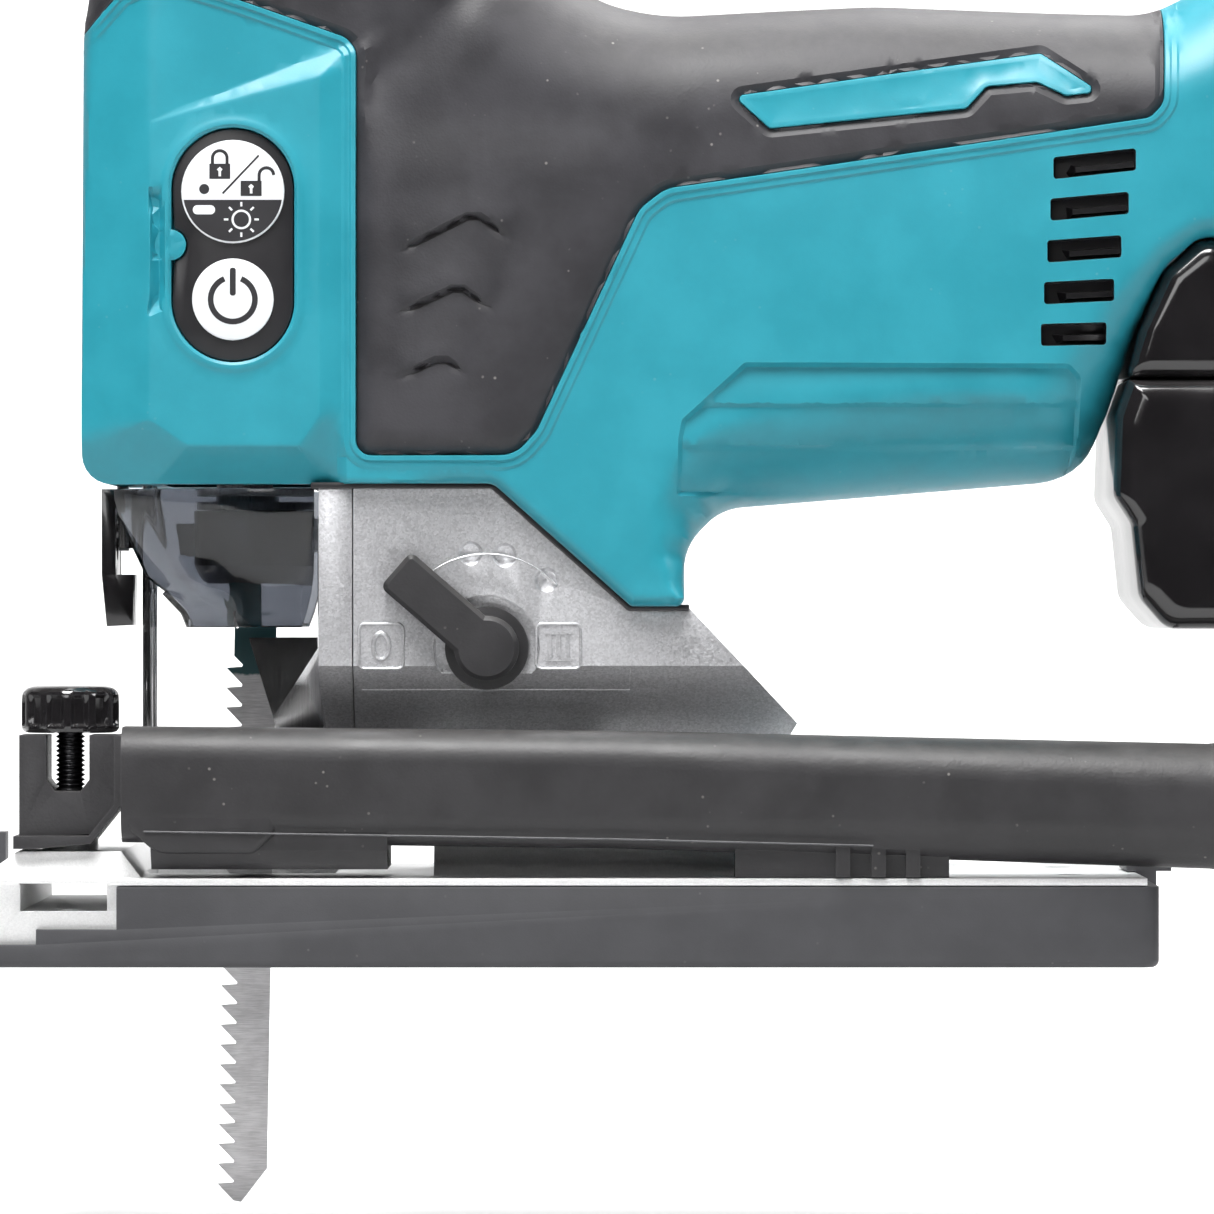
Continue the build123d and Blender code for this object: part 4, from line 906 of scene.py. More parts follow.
@dataclass
class BodySkin:
    """The skin of one body half: a height over the side view, with walls down to the parting plane.

    Every height is a distance outwards from the parting plane, so both halves share one skin.
    """

    half_width: float = 29.7
    grid: float = 1.55
    recess: float = 1.15
    # each corner: x, z, rounding in the side view, rounding of the edge towards the side face
    corners: tuple[tuple[float, float, float, float], ...] = (
        (-24.8, 76, 4.5, 4), (-24.8, 112, 0, 8), (-24.8, 148, 40, 11), (-22.8, 161, 40, 15), (-17.5, 172, 40, 19),
        (-8, 180.5, 40, 21), (6, 184.6, 40, 22), (20, 183.2, 40, 22), (32, 177.5, 40, 22), (42, 168, 40, 22),
        (50, 158.5, 40, 22), (57, 153.2, 30, 20), (67, 150.8, 60, 19), (86, 151.8, 60, 18), (101, 152.5, 60, 18),
        (130, 151.4, 60, 18), (145, 151, 30, 18), (152, 154.5, 30, 18), (161, 159.5, 30, 19), (173, 162, 40, 20),
        (188, 160.5, 40, 20), (199, 155, 30, 19), (205.5, 145, 30, 17), (207, 130, 60, 12), (205, 115, 2.5, 4),
        (152, 115, 4, 4), (146.4, 110, 8, 5), (142, 100, 20, 9), (138.4, 88, 30, 15), (134, 77, 11, 21),
        (77, 72.4, 9, 19), (70.6, 66, 9, 7), (70.6, 56.6, 1.4, 2), (62.2, 56.6, 1.4, 2), (40.4, 76, 3, 2),
    )
    grip: tuple[tuple[float, float, float], ...] = (
        (19, 80.6, 2.2), (43.8, 80.6, 5), (47.2, 84.4, 5), (63.4, 119.4, 6), (67.6, 122.6, 6), (144, 133.8, 2.6),
        (146, 136, 2.6), (146.6, 151.4, 0), (146.6, 200, 0), (-40, 200, 0), (-40, 147, 0), (-24.8, 147, 4),
        (-18.6, 153.6, 4), (-12, 156.2, 4), (1, 152.2, 8), (17.2, 146.6, 3.5), (19, 144.6, 3.5),
    )
    inlay: tuple[tuple[float, float, float], ...] = (
        (78, 137.2, 0.9), (127, 144.2, 1.2), (136.6, 137.6, 0.9), (130.8, 137, 1.4), (126.2, 139.2, 1.4),
        (118.4, 138.5, 1.4), (115.2, 135, 1.4), (84, 131.8, 1.2),
    )
    ribs: tuple[tuple[float, float, float], ...] = (
        (69.4, 74, 0.6), (69.6, 83, 1.5), (70.2, 86.1, 1.5), (80.1, 95.1, 1.5), (131.4, 94.9, 1.5), (133.3, 92.9, 1.5),
        (133.1, 81.9, 1.5), (131.3, 74, 0.6),
    )
    chevrons: tuple[tuple[Point2, ...], ...] = (
        ((24.8, 112.2), (36.4, 118.0), (38.4, 118.0), (43.8, 114.0)),
        ((24.8, 102.4), (34.0, 106.6), (35.8, 106.6), (41.0, 102.8)),
        ((24.4, 92.2), (31.4, 95.4), (33.2, 95.4), (37.2, 92.6)),
    )
    creases: tuple[tuple[Point2, ...], ...] = (
        ((-13.5, 133.0), (13.0, 140.0)), ((13.0, 140.0), (13.0, 86.7)), ((13.0, 86.7), (9.7, 82.0)),
        ((9.7, 82.0), (-7.6, 82.0)), ((-7.6, 82.0), (-13.9, 86.3)), ((-13.9, 86.3), (-13.5, 133.0)),
        ((-20.0, 131.0), (-12.6, 133.9), (-9.0, 135.6), (16.4, 144.4)), ((13.0, 140.0), (16.4, 144.4)),
        ((17.3, 143.0), (17.3, 84.0)), ((13.0, 86.7), (17.3, 82.0)), ((9.7, 82.0), (12.8, 76.0)),
        ((-7.6, 82.0), (-12.6, 76.4)), ((-13.9, 86.3), (-21.4, 82.0)),
    )
    panel: Point2 = (-0.6, 113.6)
    panel_radius: float = 9.75
    panel_half: float = 8.8
    notch: tuple[float, float, float] = (-10.4, 113.6, 2.4)
    screws: tuple[Point2, ...] = ((33, 167.5), (-15.6, 158), (106, 139), (157, 149), (196, 136), (73, 135), (-17.2, 96.5),
                                  (64.4, 64.4))

    def __post_init__(self) -> None:
        """Prepares the lines that the surface and its mesh follow."""
        self.vents, self.bars = [], []
        for row in range(5):
            z, left = 126.4 - 6.72 * row, 128.8 - 0.5 * row
            right, lean = left + 13.0 - 0.65 * row, 0.7 - 0.14 * row
            slot = [(left, z - 1.75 - lean, 0.5), (right, z - 1.75 + lean, 0.5), (right, z + 1.75 + lean, 0.5), (left, z + 1.75 - lean, 0.5)]
            self.vents.append(resampled(rounded(slot, 4), 1.2))
            self.bars.append(np.array([(left + 3.6, z - 0.5 - lean / 2), (right + 2.0, z - 0.5 + lean)]))
        self.rim = resampled(rounded([c[:3] for c in self.corners]), 1.6)
        self.grip_line = resampled(rounded(self.grip), 1.4)
        self.inlay_line = resampled(rounded(self.inlay), 1.2)
        self.rib_line = resampled(rounded(self.ribs), 1.6)
        ring = list(self.corners) + [self.corners[0]]
        radii = []
        for (x0, z0, _, r0), (x1, z1, _, r1) in zip(ring, ring[1:]):
            count = max(1, round(math.hypot(x1 - x0, z1 - z0) / 4.0))
            radii += [(x0 + (x1 - x0) * k / count, z0 + (z1 - z0) * k / count, r0 + (r1 - r0) * k / count) for k in range(count)]
        self.radii = np.array(radii)
        self.build_plan()

    # -------------------------------------------------------------- the surface

    def edge_radius(self, points: np.ndarray) -> np.ndarray:
        """The rounding of the nearest part of the rim, varying smoothly."""
        total, weights = np.zeros(len(points)), np.zeros(len(points))
        for x, z, radius in self.radii:
            weight = 1.0 / (((points - (x, z)) ** 2).sum(axis=1) + 0.5) ** 2
            total += weight * radius
            weights += weight
        return total / weights

    def side_half(self, x: np.ndarray, z: np.ndarray) -> np.ndarray:
        """Half width of the body before its edges are rounded."""
        waist = 1.3 * ramp(x, 50.0, 95.0) * (1.0 - ramp(x, 120.0, 152.0)) * ramp(z, 108.0, 138.0)
        tail = 0.9 * ramp(x, 150.0, 200.0)
        return self.half_width - waist - tail

    def head(self, x: np.ndarray, z: np.ndarray) -> np.ndarray:
        """Height of the faceted head round the button panel."""
        flat = np.full(len(x), self.half_width)
        above = (x + 13.1) * -0.259 + (z - 133.0) * 0.966
        upper = 29.5 - 0.078 * (x + 13.0)
        top = np.where(above > 0, np.maximum(self.half_width - 0.62 * above, upper), self.half_width + 1.0)
        top = top + (30.5 - top) * ramp(x, 18.5, 32.0)
        right = self.half_width - 1.5 * np.clip((x - 13.0) / 4.3, 0, 1) + 1.5 * ramp(x, 21.0, 36.0)
        left = self.half_width - 0.5 * (-13.5 - x)
        fade = 1.0 - ramp(x, 14.5, 18.6)
        bottom = self.half_width - 0.85 * (82.0 - z) * fade
        low_left = self.half_width - 0.62 * ((x + 13.9) * -0.564 + (z - 86.3) * -0.826)
        low_right = self.half_width - 0.55 * ((x - 9.7) * 0.819 + (z - 82.0) * -0.575) * fade
        return lowest(flat, top, right, left, bottom, low_left, low_right)

    def relief(self, p: np.ndarray) -> np.ndarray:
        """Small features: rims, grooves, ribs and chevrons."""
        x, z = p.T
        rubber = self.rubber_distance(p)
        step = 0.30 * (ramp(rubber, 0.12, 0.3) - ramp(rubber, 0.95, 1.3)) + 0.26 * (ramp(rubber, 0.12, 0.3) - ramp(rubber, 2.1, 2.5))
        step *= np.where(edge_distance(p, self.inlay_line) < 0, 0.5, 1.0)
        result = np.where(rubber > 0, step, 0.0)
        # the elastomer: an eased edge, a plateau with one soft crease, and a valley up to the dome
        crease = (63.4 - x) * 0.908 - (119.4 - z) * 0.42
        plateau = lowest(np.full(len(x), 1.25), 0.15 * np.maximum(crease, 0.0) + 0.1, blend=0.5)
        plateau *= (1.0 - ramp(z, 124.0, 136.0)) * ramp(-rubber, 0.0, 3.2)
        soft = -0.45 + 0.75 * ramp(-rubber, 0.0, 1.3) + plateau
        valley = gap(p, np.array([(20.0, 139.0), (29.0, 146.5), (40.0, 160.0)]), closed=False)
        soft -= 1.5 * np.exp(-((valley / 4.0) ** 2)) * ramp(-rubber, 0.0, 3.0)
        result = np.where(rubber <= 0, soft, result)
        for line in self.chevrons:
            path = np.array(line)
            away = gap(p, path, closed=False)
            ends = np.minimum(np.linalg.norm(p - path[0], axis=1), np.linalg.norm(p - path[-1], axis=1))
            taper = ramp(ends, 0.3, 5.0)
            crest = np.interp(x, path[:, 0], path[:, 1])
            over = (x > path[0, 0]) & (x < path[-1, 0]) & (z > crest)
            result -= 0.75 * np.exp(-((away / 0.42) ** 2)) * taper
            result += np.where(over, 0.60 * np.exp(-((away / 4.2) ** 2)) * taper, 0.0)
            result -= np.where(over, 0.0, 0.30 * np.exp(-((away / 3.0) ** 2)) * taper)
        # planks under the barrel
        deep = -edge_distance(p, self.rib_line)
        plank = np.where(z > 88.3, (95.0 - z) / 6.7, np.where(z > 81.7, (88.3 - z) / 6.6, (81.7 - z) / 6.6))
        plank = np.clip(plank, 0.0, 1.0)
        planks = -1.15 + 0.62 * np.minimum(plank, (1.0 - plank) * 16.0)
        result += planks * ramp(deep, 0.0, 0.75)
        # a thin line inside the inlay
        inner = np.array([(114.0, 137.4), (117.0, 140.6), (126.0, 141.8), (132.4, 138.4)])
        result -= 0.35 * np.exp(-((gap(p, inner, closed=False) / 0.3) ** 2))
        # the lip round the button panel, and the slim pocket beside it
        lip = self.panel_distance(p)
        result += 0.35 * (ramp(lip, -0.1, 0.5) - ramp(lip, 0.9, 1.9))
        pocket = gap(p, np.array([(-13.0, 121.4), (-12.5, 118.5), (-12.5, 106.5), (-13.0, 103.6)]), closed=False)
        result -= 1.2 * (1.0 - ramp(pocket, 0.5, 1.15))
        return result

    def rubber_distance(self, p: np.ndarray) -> np.ndarray:
        """Distance to the soft grip, negative inside it."""
        return np.maximum(edge_distance(p, self.grip_line), -edge_distance(p, self.inlay_line))

    def panel_distance(self, p: np.ndarray) -> np.ndarray:
        """Distance to the button panel's opening, negative inside it."""
        x, z = p.T
        beyond = np.maximum(np.abs(z - self.panel[1]) - self.panel_half, 0.0)
        slot = np.hypot(x - self.panel[0], beyond) - self.panel_radius
        bump = self.notch[2] - np.hypot(x - self.notch[0], z - self.notch[1])
        return np.maximum(slot, bump)

    def height(self, p: np.ndarray) -> np.ndarray:
        """Height of the finished surface at each point of the side view."""
        x, z = p.T
        away = gap(p, self.rim)
        radius = self.edge_radius(p)
        reach = np.clip(radius - away, 0.0, radius)
        width = self.side_half(x, z)
        round_edge = width - radius + np.sqrt(np.maximum(radius**2 - reach**2, 0.0))
        drop = self.half_width - lowest(self.head(x, z), width + 0.4)
        y = lowest(round_edge, self.head(x, z), blend=0.5)
        y = np.where(drop > 90, round_edge, y)
        y += self.relief(p) * ramp(away, 0.0, 4.0)
        opening = self.panel_distance(p)
        y -= 3.7 * ramp(-opening, 0.0, 0.16)
        for vent, bar in zip(self.vents, self.bars):
            inner = -edge_distance(p, vent)
            y -= 3.4 * ramp(inner, 0.0, 0.2)
            y += 1.7 * ramp(inner, 0.0, 0.2) * (1.0 - ramp(gap(p, bar, closed=False), 0.45, 0.6))
        return y

    # -------------------------------------------------------------- the mesh plan

    def build_plan(self) -> None:
        """Triangulates the side view along every feature line."""
        verts: list[np.ndarray] = []
        edges: list[tuple[int, int]] = []

        def lay(line: np.ndarray, closed: bool) -> None:
            """Adds a line of constrained edges."""
            start = sum(len(v) for v in verts)
            verts.append(line)
            count = len(line)
            last = count if closed else count - 1
            edges.extend((start + i, start + (i + 1) % count) for i in range(last))

        lay(self.rim, True)
        for away in (-1.3, -0.5, 0.0, 0.16, 0.32, 0.95, 1.3, 2.1, 2.5):
            lay(shifted(self.grip_line, away if self.clockwise(self.grip_line) is False else -away), True)
        for away in (-1.1, -0.9, -0.32, -0.16, 0.0, 0.5, 1.3):
            lay(shifted(self.inlay_line, away if self.clockwise(self.inlay_line) is False else -away), True)
        for away in (-0.75, -0.35, 0.0, 0.5):
            lay(shifted(self.rib_line, away if self.clockwise(self.rib_line) is False else -away), True)
        for z in (88.6, 88.0, 82.0, 81.4):
            lay(resampled([(71.0, z), (132.6, z)], 2.0, False), False)
        for line in self.chevrons:
            path = resampled(line, 1.0, False)
            for away in (-1.5, -0.7, -0.35, 0.0, 0.35, 0.7, 1.5):
                lay(shifted(path, away, False), False)
        for line in self.creases:
            path = resampled(line, 1.5, False)
            for away in (-0.3, 0.0, 0.3):
                lay(shifted(path, away, False), False)
        for radius in (-0.2, 0.0, 0.45, 0.9, 1.4, 1.9):
            r = self.panel_radius + radius
            slot = [(self.panel[0] + r * math.cos(a), self.panel[1] + math.copysign(self.panel_half, math.sin(a)) + r * math.sin(a))
                    for a in (math.tau * (k + 0.5) / 60 for k in range(60))]
            lay(resampled(slot, 1.2), True)
        for radius in (self.notch[2], self.notch[2] + 0.18):
            lay(np.array(arc(self.notch[:2], radius, 0, 342, 19)), True)
        for vent, bar in zip(self.vents, self.bars):
            for away in (0.0, 0.2):
                lay(shifted(vent, away if self.clockwise(vent) else -away), True)
            for away in (-0.6, -0.45, 0.45, 0.6):
                lay(shifted(resampled(bar, 1.0, False), away, False), False)
        for centre in self.screws:
            for radius in (3.5, 3.68):
                lay(np.array(arc(centre, radius, 0, 345, 23)), True)
        pinned = np.vstack(verts)
        free = [self.loose_points(pinned)]
        for inset in (0.2, 0.6, 1.2, 2.0, 3.0, 4.2, 5.6):
            free.append(shifted(self.rim, inset if self.clockwise(self.rim) else -inset))
        points = [Vector(p) for p in np.vstack([pinned] + free)]
        flat, _, triangles, *_ = delaunay_2d_cdt(points, edges, [], 0, 0.01)
        self.plan = np.array([tuple(v) for v in flat])
        tris = np.array([t if len(t) == 3 else t[:3] for t in triangles])
        centres = self.plan[tris].mean(axis=1)
        self.tris = tris[within(centres, self.rim)]
        LOG.info("body plan: %d points, %d triangles", len(self.plan), len(self.tris))

    @staticmethod
    def clockwise(line: np.ndarray) -> bool:
        """Tells which way round a closed line runs."""
        ahead = np.roll(line, -1, axis=0)
        return float((line[:, 0] * ahead[:, 1] - ahead[:, 0] * line[:, 1]).sum()) < 0

    def loose_points(self, pinned: np.ndarray) -> np.ndarray:
        """An even scatter of points inside the rim, clear of the feature lines."""
        low, high = self.rim.min(axis=0), self.rim.max(axis=0)
        rows = np.arange(low[1], high[1], self.grid * 0.866)
        points = []
        for k, z in enumerate(rows):
            xs = np.arange(low[0] + (k % 2) * self.grid / 2, high[0], self.grid)
            points.append(np.column_stack([xs, np.full(len(xs), z)]))
        grid = np.vstack(points)
        grid = grid[within(grid, self.rim)]
        grid = grid[gap(grid, self.rim) > 6.2]
        cells = {tuple(c) for c in np.floor(pinned / 0.9).astype(int)}
        keys = np.floor(grid / 0.9).astype(int)
        keep = [tuple(c) not in cells for c in keys]
        return grid[np.array(keep)]

    # -------------------------------------------------------------- the pieces

    def build_surface(self, screw_depth: float) -> None:
        """Lifts the plan, adds the walls down to the parting plane and works out normals."""
        used = np.unique(self.tris)
        renumber = np.full(len(self.plan), -1)
        renumber[used] = np.arange(len(used))
        plan = self.plan[used]
        tris = renumber[self.tris]
        height = self.height(plan)
        sinks = np.full(len(plan), 1e9)
        for x, z in self.screws:
            sinks = np.minimum(sinks, np.hypot(plan[:, 0] - x, plan[:, 1] - z))
        if screw_depth:
            height = np.where(sinks < 3.6, np.minimum(height, screw_depth), height)
        verts = np.column_stack([plan[:, 0], height, plan[:, 1]])
        counts: dict[tuple[int, int], tuple[int, int] | None] = {}
        for a, b, c in tris.tolist():
            for i, j in ((a, b), (b, c), (c, a)):
                key = (min(i, j), max(i, j))
                counts[key] = None if key in counts else (i, j)
        ahead = dict(edge for edge in counts.values() if edge)
        start = next(iter(ahead))
        loop = [start]
        while ahead[loop[-1]] != start:
            loop.append(ahead[loop[-1]])
        edge = plan[loop]
        tops = height[loop]
        inward = shifted(edge, 0.35 if self.clockwise(edge) else -0.35)
        deeper = shifted(edge, 2.2 if self.clockwise(edge) else -2.2)
        faces = [tuple(t) for t in tris.tolist()]
        rings = [loop]
        marks = (24.0, 18.6, 14.6, 12.0, 6.2, 4.2, 0.45, 0.06, 0.06)
        for index, mark in enumerate(marks):
            at = {7: inward, 8: deeper}.get(index, edge)
            level = np.minimum(tops - 0.02 * (index + 1), mark)
            verts = np.vstack([verts, np.column_stack([at[:, 0], level, at[:, 1]])])
            rings.append(list(range(len(verts) - len(loop), len(verts))))
        count = len(loop)
        for k, (upper, lower) in enumerate(zip(rings, rings[1:])):
            for i in range(count):
                j = (i + 1) % count
                centre = (edge[i] + edge[j]) / 2
                if not self.open_wall(centre, marks[k]):
                    faces.append((upper[j], upper[i], lower[i], lower[j]))
        self.verts, self.faces = verts, faces
        plan_all = np.column_stack([verts[:, 0], verts[:, 2]])
        self.rubber = self.rubber_distance(plan_all)
        self.sinks = np.full(len(verts), 1e9)
        self.sinks[: len(plan)] = sinks
        self.normals = self.vertex_normals()

    @staticmethod
    def open_wall(centre: np.ndarray, level: float) -> bool:
        """Tells whether the wall is cut away here, for a part that passes through it."""
        x, z = centre
        plunger = abs(x) < 12.0 and z < 78.0 and level <= 12.0
        gears = 12.0 < x < 62.0 and z < 76.4 and level <= 24.0
        dock = x > 151.0 and z < 116.0 and level <= 14.6
        back = x > 203.0 and z < 122.6 and level <= 18.6
        dial = 165.0 < x < 187.0 and z > 150.0 and level <= 4.2
        return plunger or gears or dock or back or dial

    def vertex_normals(self) -> np.ndarray:
        """Outward normals of the surface's vertices."""
        normals = np.zeros_like(self.verts)
        for face in self.faces:
            corners = self.verts[list(face)]
            normal = np.cross(corners[1] - corners[0], corners[2] - corners[0])
            if len(face) == 4:
                normal = normal + np.cross(corners[2] - corners[0], corners[3] - corners[0])
            for index in face:
                normals[index] += normal
        length = np.maximum(np.linalg.norm(normals, axis=1, keepdims=True), 1e-9)
        normals /= length
        return normals if normals[:100, 1].mean() > 0 else -normals

    def shell(self) -> Shape:
        """The hard shell, sunk under the soft grip."""
        sunk = self.verts - self.normals * np.where(self.rubber <= 0.02, self.recess, 0.0)[:, None]
        sunk[:, 1] = np.maximum(sunk[:, 1], 0.06)
        faces = [f for f in self.faces if min(self.rubber[i] for i in f) > -2.4 or max(self.rubber[i] for i in f) > -0.6]
        return self.compact(sunk, faces)

    def skin(self, screws: bool) -> Shape:
        """The soft grip, with its edge turned in."""
        faces = [f for f in self.faces if max(self.rubber[i] for i in f) <= 0.02]
        if screws:
            faces = [f for f in faces if max(self.sinks[i] for i in f) > 3.66]
        counts: dict[tuple[int, int], tuple[int, int] | None] = {}
        for face in faces:
            for i, j in zip(face, face[1:] + face[:1]):
                key = (min(i, j), max(i, j))
                counts[key] = None if key in counts else (i, j)
        under = self.verts - self.normals * self.recess * 0.9
        under[:, 1] = np.maximum(under[:, 1], 0.05)
        offset = len(self.verts)
        verts = np.vstack([self.verts, under])
        walls = [(j, i, i + offset, j + offset) for i, j in (e for e in counts.values() if e)]
        return self.compact(verts, faces + walls)

    @staticmethod
    def compact(verts: np.ndarray, faces: Sequence[tuple[int, ...]]) -> Shape:
        """Keeps only the vertices that the faces use."""
        used = sorted({i for f in faces for i in f})
        number = {old: new for new, old in enumerate(used)}
        return Shape([Vector(verts[i]) for i in used], [tuple(number[i] for i in f) for f in faces])


@dataclass
class Body:
    """Both halves of the housing, with the soft grip."""

    def build(self) -> None:
        """Builds the halves."""
        skin = BodySkin()
        for side, label, depth in ((-1, "left", 0.0), (1, "right", 19.9)):
            skin.build_surface(depth)
            shapes = (skin.shell(), skin.skin(bool(depth)))
            if side < 0:
                shapes = tuple(s.mirrored() for s in shapes)
            shell = Piece(f"body_shell_{label}", "tool", "teal_plastic", "teal", (f"housing_{label}",)).make_open(shapes[0], side)
            # painted shade: the air slot pockets get a dark floor and dark inner walls
            self.paint_vent_shade(skin, shell)
            Piece(f"soft_grip_{label}", "tool", "grip_rubber", "rubber", (f"grip_{label}",)).make_open(shapes[1], side)

    @staticmethod
    def paint_vent_shade(skin: BodySkin, shell: bpy.types.Object) -> None:
        """Paints shade into the air slots: the floor and inner walls of each slot pocket get the dark panel finish, as
        painted shade for the shaded inside of an open slot.
        """
        # the dark panel finish, used here as painted shade inside the slots
        shell.data.materials.append(Palette.get("panel"))
        centres = np.array([(p.center.x / MM, p.center.z / MM) for p in shell.data.polygons])
        for vent in skin.vents:
            near = np.abs(centres - vent.mean(axis=0)).max(axis=1) < 9.0
            inner = np.zeros(len(centres), dtype=bool)
            inner[near] = edge_distance(centres[near], vent) < -0.02
            for index in np.nonzero(inner)[0].tolist():
                shell.data.polygons[index].material_index = 1


# ------------------------------------------------------------------ button panels


@dataclass
class ButtonPanel:
    """The oval panel on one side of the head, with its two printed buttons."""

    side: str
    sign: float
    panel: Point2 = (-0.6, 113.6)
    lock: Point2 = (-0.6, 122.0)
    power: Point2 = (-0.6, 105.0)
    face: float = 28.9

    def build(self) -> None:
        """Builds the panel, the buttons and their print."""
        radius, half = 9.55, 8.8
        outline = arc((self.panel[0], self.panel[1] + half), radius, 0, 180, 30)
        outline += arc((self.panel[0], self.panel[1] - half), radius, 180, 360, 30)
        notch = [p for p in arc((-10.4, 113.6), 2.6, 78, -78, 14)]
        left = [p for p in outline if not (p[0] < -9.9 and abs(p[1] - 113.6) < 3.0)]
        at = next(i for i, p in enumerate(left) if p[0] < -10.0 and p[1] < 113.6)
        self.place("button_panel", "tool", "panel_black", "panel", left[:at] + notch + left[at:], 26.2, self.face,
                   0.35, replaces=(f"button_panel_{self.side}",))
        self.lock_button()
        self.power_button()

    def place(self, name: str, body: str, slot: str, finish: str, outline: Sequence[Point2], low: float, high: float,
              edge: float = 0.0, replaces: tuple[str, ...] = ()) -> None:
        """Makes one prism that faces sideways.

        Args:
            name: Its name, without the side.
            body: The body that it rides on.
            slot: Its material slot. It is kept on the piece but not used.
            finish: Its finish.
            outline: Its outline as (x, z).
            low: Its inner face.
            high: Its outer face.
            edge: Width of its edge rounding.
            replaces: CAD nodes that it stands for.
        """
        if self.sign > 0:
            outline = [(2 * self.panel[0] - x, z) if "mark" in name else (x, z) for x, z in outline]
        shape = slab_y(outline, self.sign * low, self.sign * high)
        Piece(f"{name}_{self.side}", body, slot, finish, replaces).make(shape, edge)

    def disc(self, centre: Point2, radius: float, start: float = 0.0, end: float = 360.0) -> list[Point2]:
        """Outline of a disc or of a segment of one."""
        points = arc(centre, radius, start, end, 48)
        return points[:-1] if end - start == 360.0 else points

    def stroke(self, line: Sequence[Point2], width: float) -> list[Point2]:
        """Outline of a drawn line with square ends."""
        path = np.array(line)
        near, far = shifted(path, width / 2, False), shifted(path, -width / 2, False)
        return [tuple(p) for p in near] + [tuple(p) for p in far[::-1]]

    def lock_button(self) -> None:
        """The lock and lamp button: pale above with two padlocks, dark below with a sun."""
        body = f"lock_{self.side}"
        top = self.face + 0.45
        x, z = self.lock
        self.place("lock_cap", body, "button_print", "ink_white", self.disc(self.lock, 8.15), 25.6, top, 0.25,
                   (f"lock_button_{self.side}",))
        low = math.degrees(math.asin(-1.3 / 7.85))
        marks = [("dark", "ink_black", self.disc(self.lock, 7.85, 180 - low, 360 + low), 0.04)]
        for label, cx, cz in (("closed", -2.65, 125.2), ("open", 2.3, 122.5)):
            marks.append((f"{label}_body", "ink_black", [(cx - 1.65, cz - 1.2), (cx + 1.65, cz - 1.2), (cx + 1.65, cz + 1.2), (cx - 1.65, cz + 1.2)], 0.04))
            marks.append((f"{label}_keyhole", "ink_white", [(cx - 0.2, cz - 0.8), (cx + 0.2, cz - 0.8), (cx + 0.2, cz), (cx + 0.45, cz + 0.3), (cx, cz + 0.7), (cx - 0.45, cz + 0.3), (cx - 0.2, cz)], 0.08))
            shift = 0.0 if label == "closed" else 2.4
            hoop = [(cx + shift - 1.15, cz + 1.1)] + [(px, pz) for px, pz in arc((cx + shift, cz + 2.1), 1.15, 180, 0, 14)]
            hoop += [(cx + shift + 1.15, cz + 1.1)] if label == "closed" else []
            marks.append((f"{label}_hoop", "ink_black", self.stroke(hoop, 0.5), 0.04))
        marks.append(("slash", "ink_black", self.stroke([(-2.2, 121.7), (3.5, 127.7)], 0.3), 0.04))
        marks.append(("dot", "ink_black", self.disc((-5.1, 122.4), 0.8), 0.04))
        marks.append(("pill", "ink_white", rounded([(-6.9, 118.4, 0.7), (-3.4, 118.4, 0.7), (-3.4, 119.85, 0.7), (-6.9, 119.85, 0.7)]), 0.08))
        sun = (0.75, 117.6)
        marks.append(("sun", "ink_white", self.disc(sun, 1.55), 0.08))
        marks.append(("sun_core", "ink_black", self.disc(sun, 1.2), 0.12))
        for k in range(8):
            a = math.tau * k / 8
            ray = [(sun[0] + r * math.cos(a), sun[1] + r * math.sin(a)) for r in (2.05, 2.75)]
            marks.append((f"ray_{k}", "ink_white", self.stroke(ray, 0.32), 0.08))
        self.print_marks("lock_mark", body, marks, top)

    def power_button(self) -> None:
        """The power button: a pale disc with a broken ring and a bar."""
        body = f"power_{self.side}"
        top = self.face + 0.45
        self.place("power_cap", body, "button_print", "ink_white", self.disc(self.power, 6.45), 25.6, top, 0.25,
                   (f"power_button_{self.side}",))
        ring = arc(self.power, 3.5, 112, 428, 40)
        x, z = self.power
        marks = [("ring", "ink_black", self.stroke(ring, 0.9), 0.04),
                 ("bar", "ink_black", rounded([(x - 0.48, z + 0.6, 0.4), (x + 0.48, z + 0.6, 0.4), (x + 0.48, z + 5.0, 0.4), (x - 0.48, z + 5.0, 0.4)]), 0.04)]
        self.print_marks("power_mark", body, marks, top)

    def print_marks(self, name: str, body: str, marks: Sequence[tuple[str, str, list[Point2], float]], top: float) -> None:
        """Joins a button's marks into one piece for each ink."""
        for finish in ("ink_black", "ink_white"):
            shape = Shape()
            for _, ink, outline, rise in marks:
                if ink == finish:
                    turned_round = [(2 * self.panel[0] - x, z) if self.sign > 0 else (x, z) for x, z in outline]
                    shape = shape + slab_y(turned_round, self.sign * (top - 0.1), self.sign * (top + rise))
            if shape.verts:
                Piece(f"{name}_{finish}_{self.side}", body, "button_print", finish).make(shape)


# ------------------------------------------------------------------ gear housing and front parts


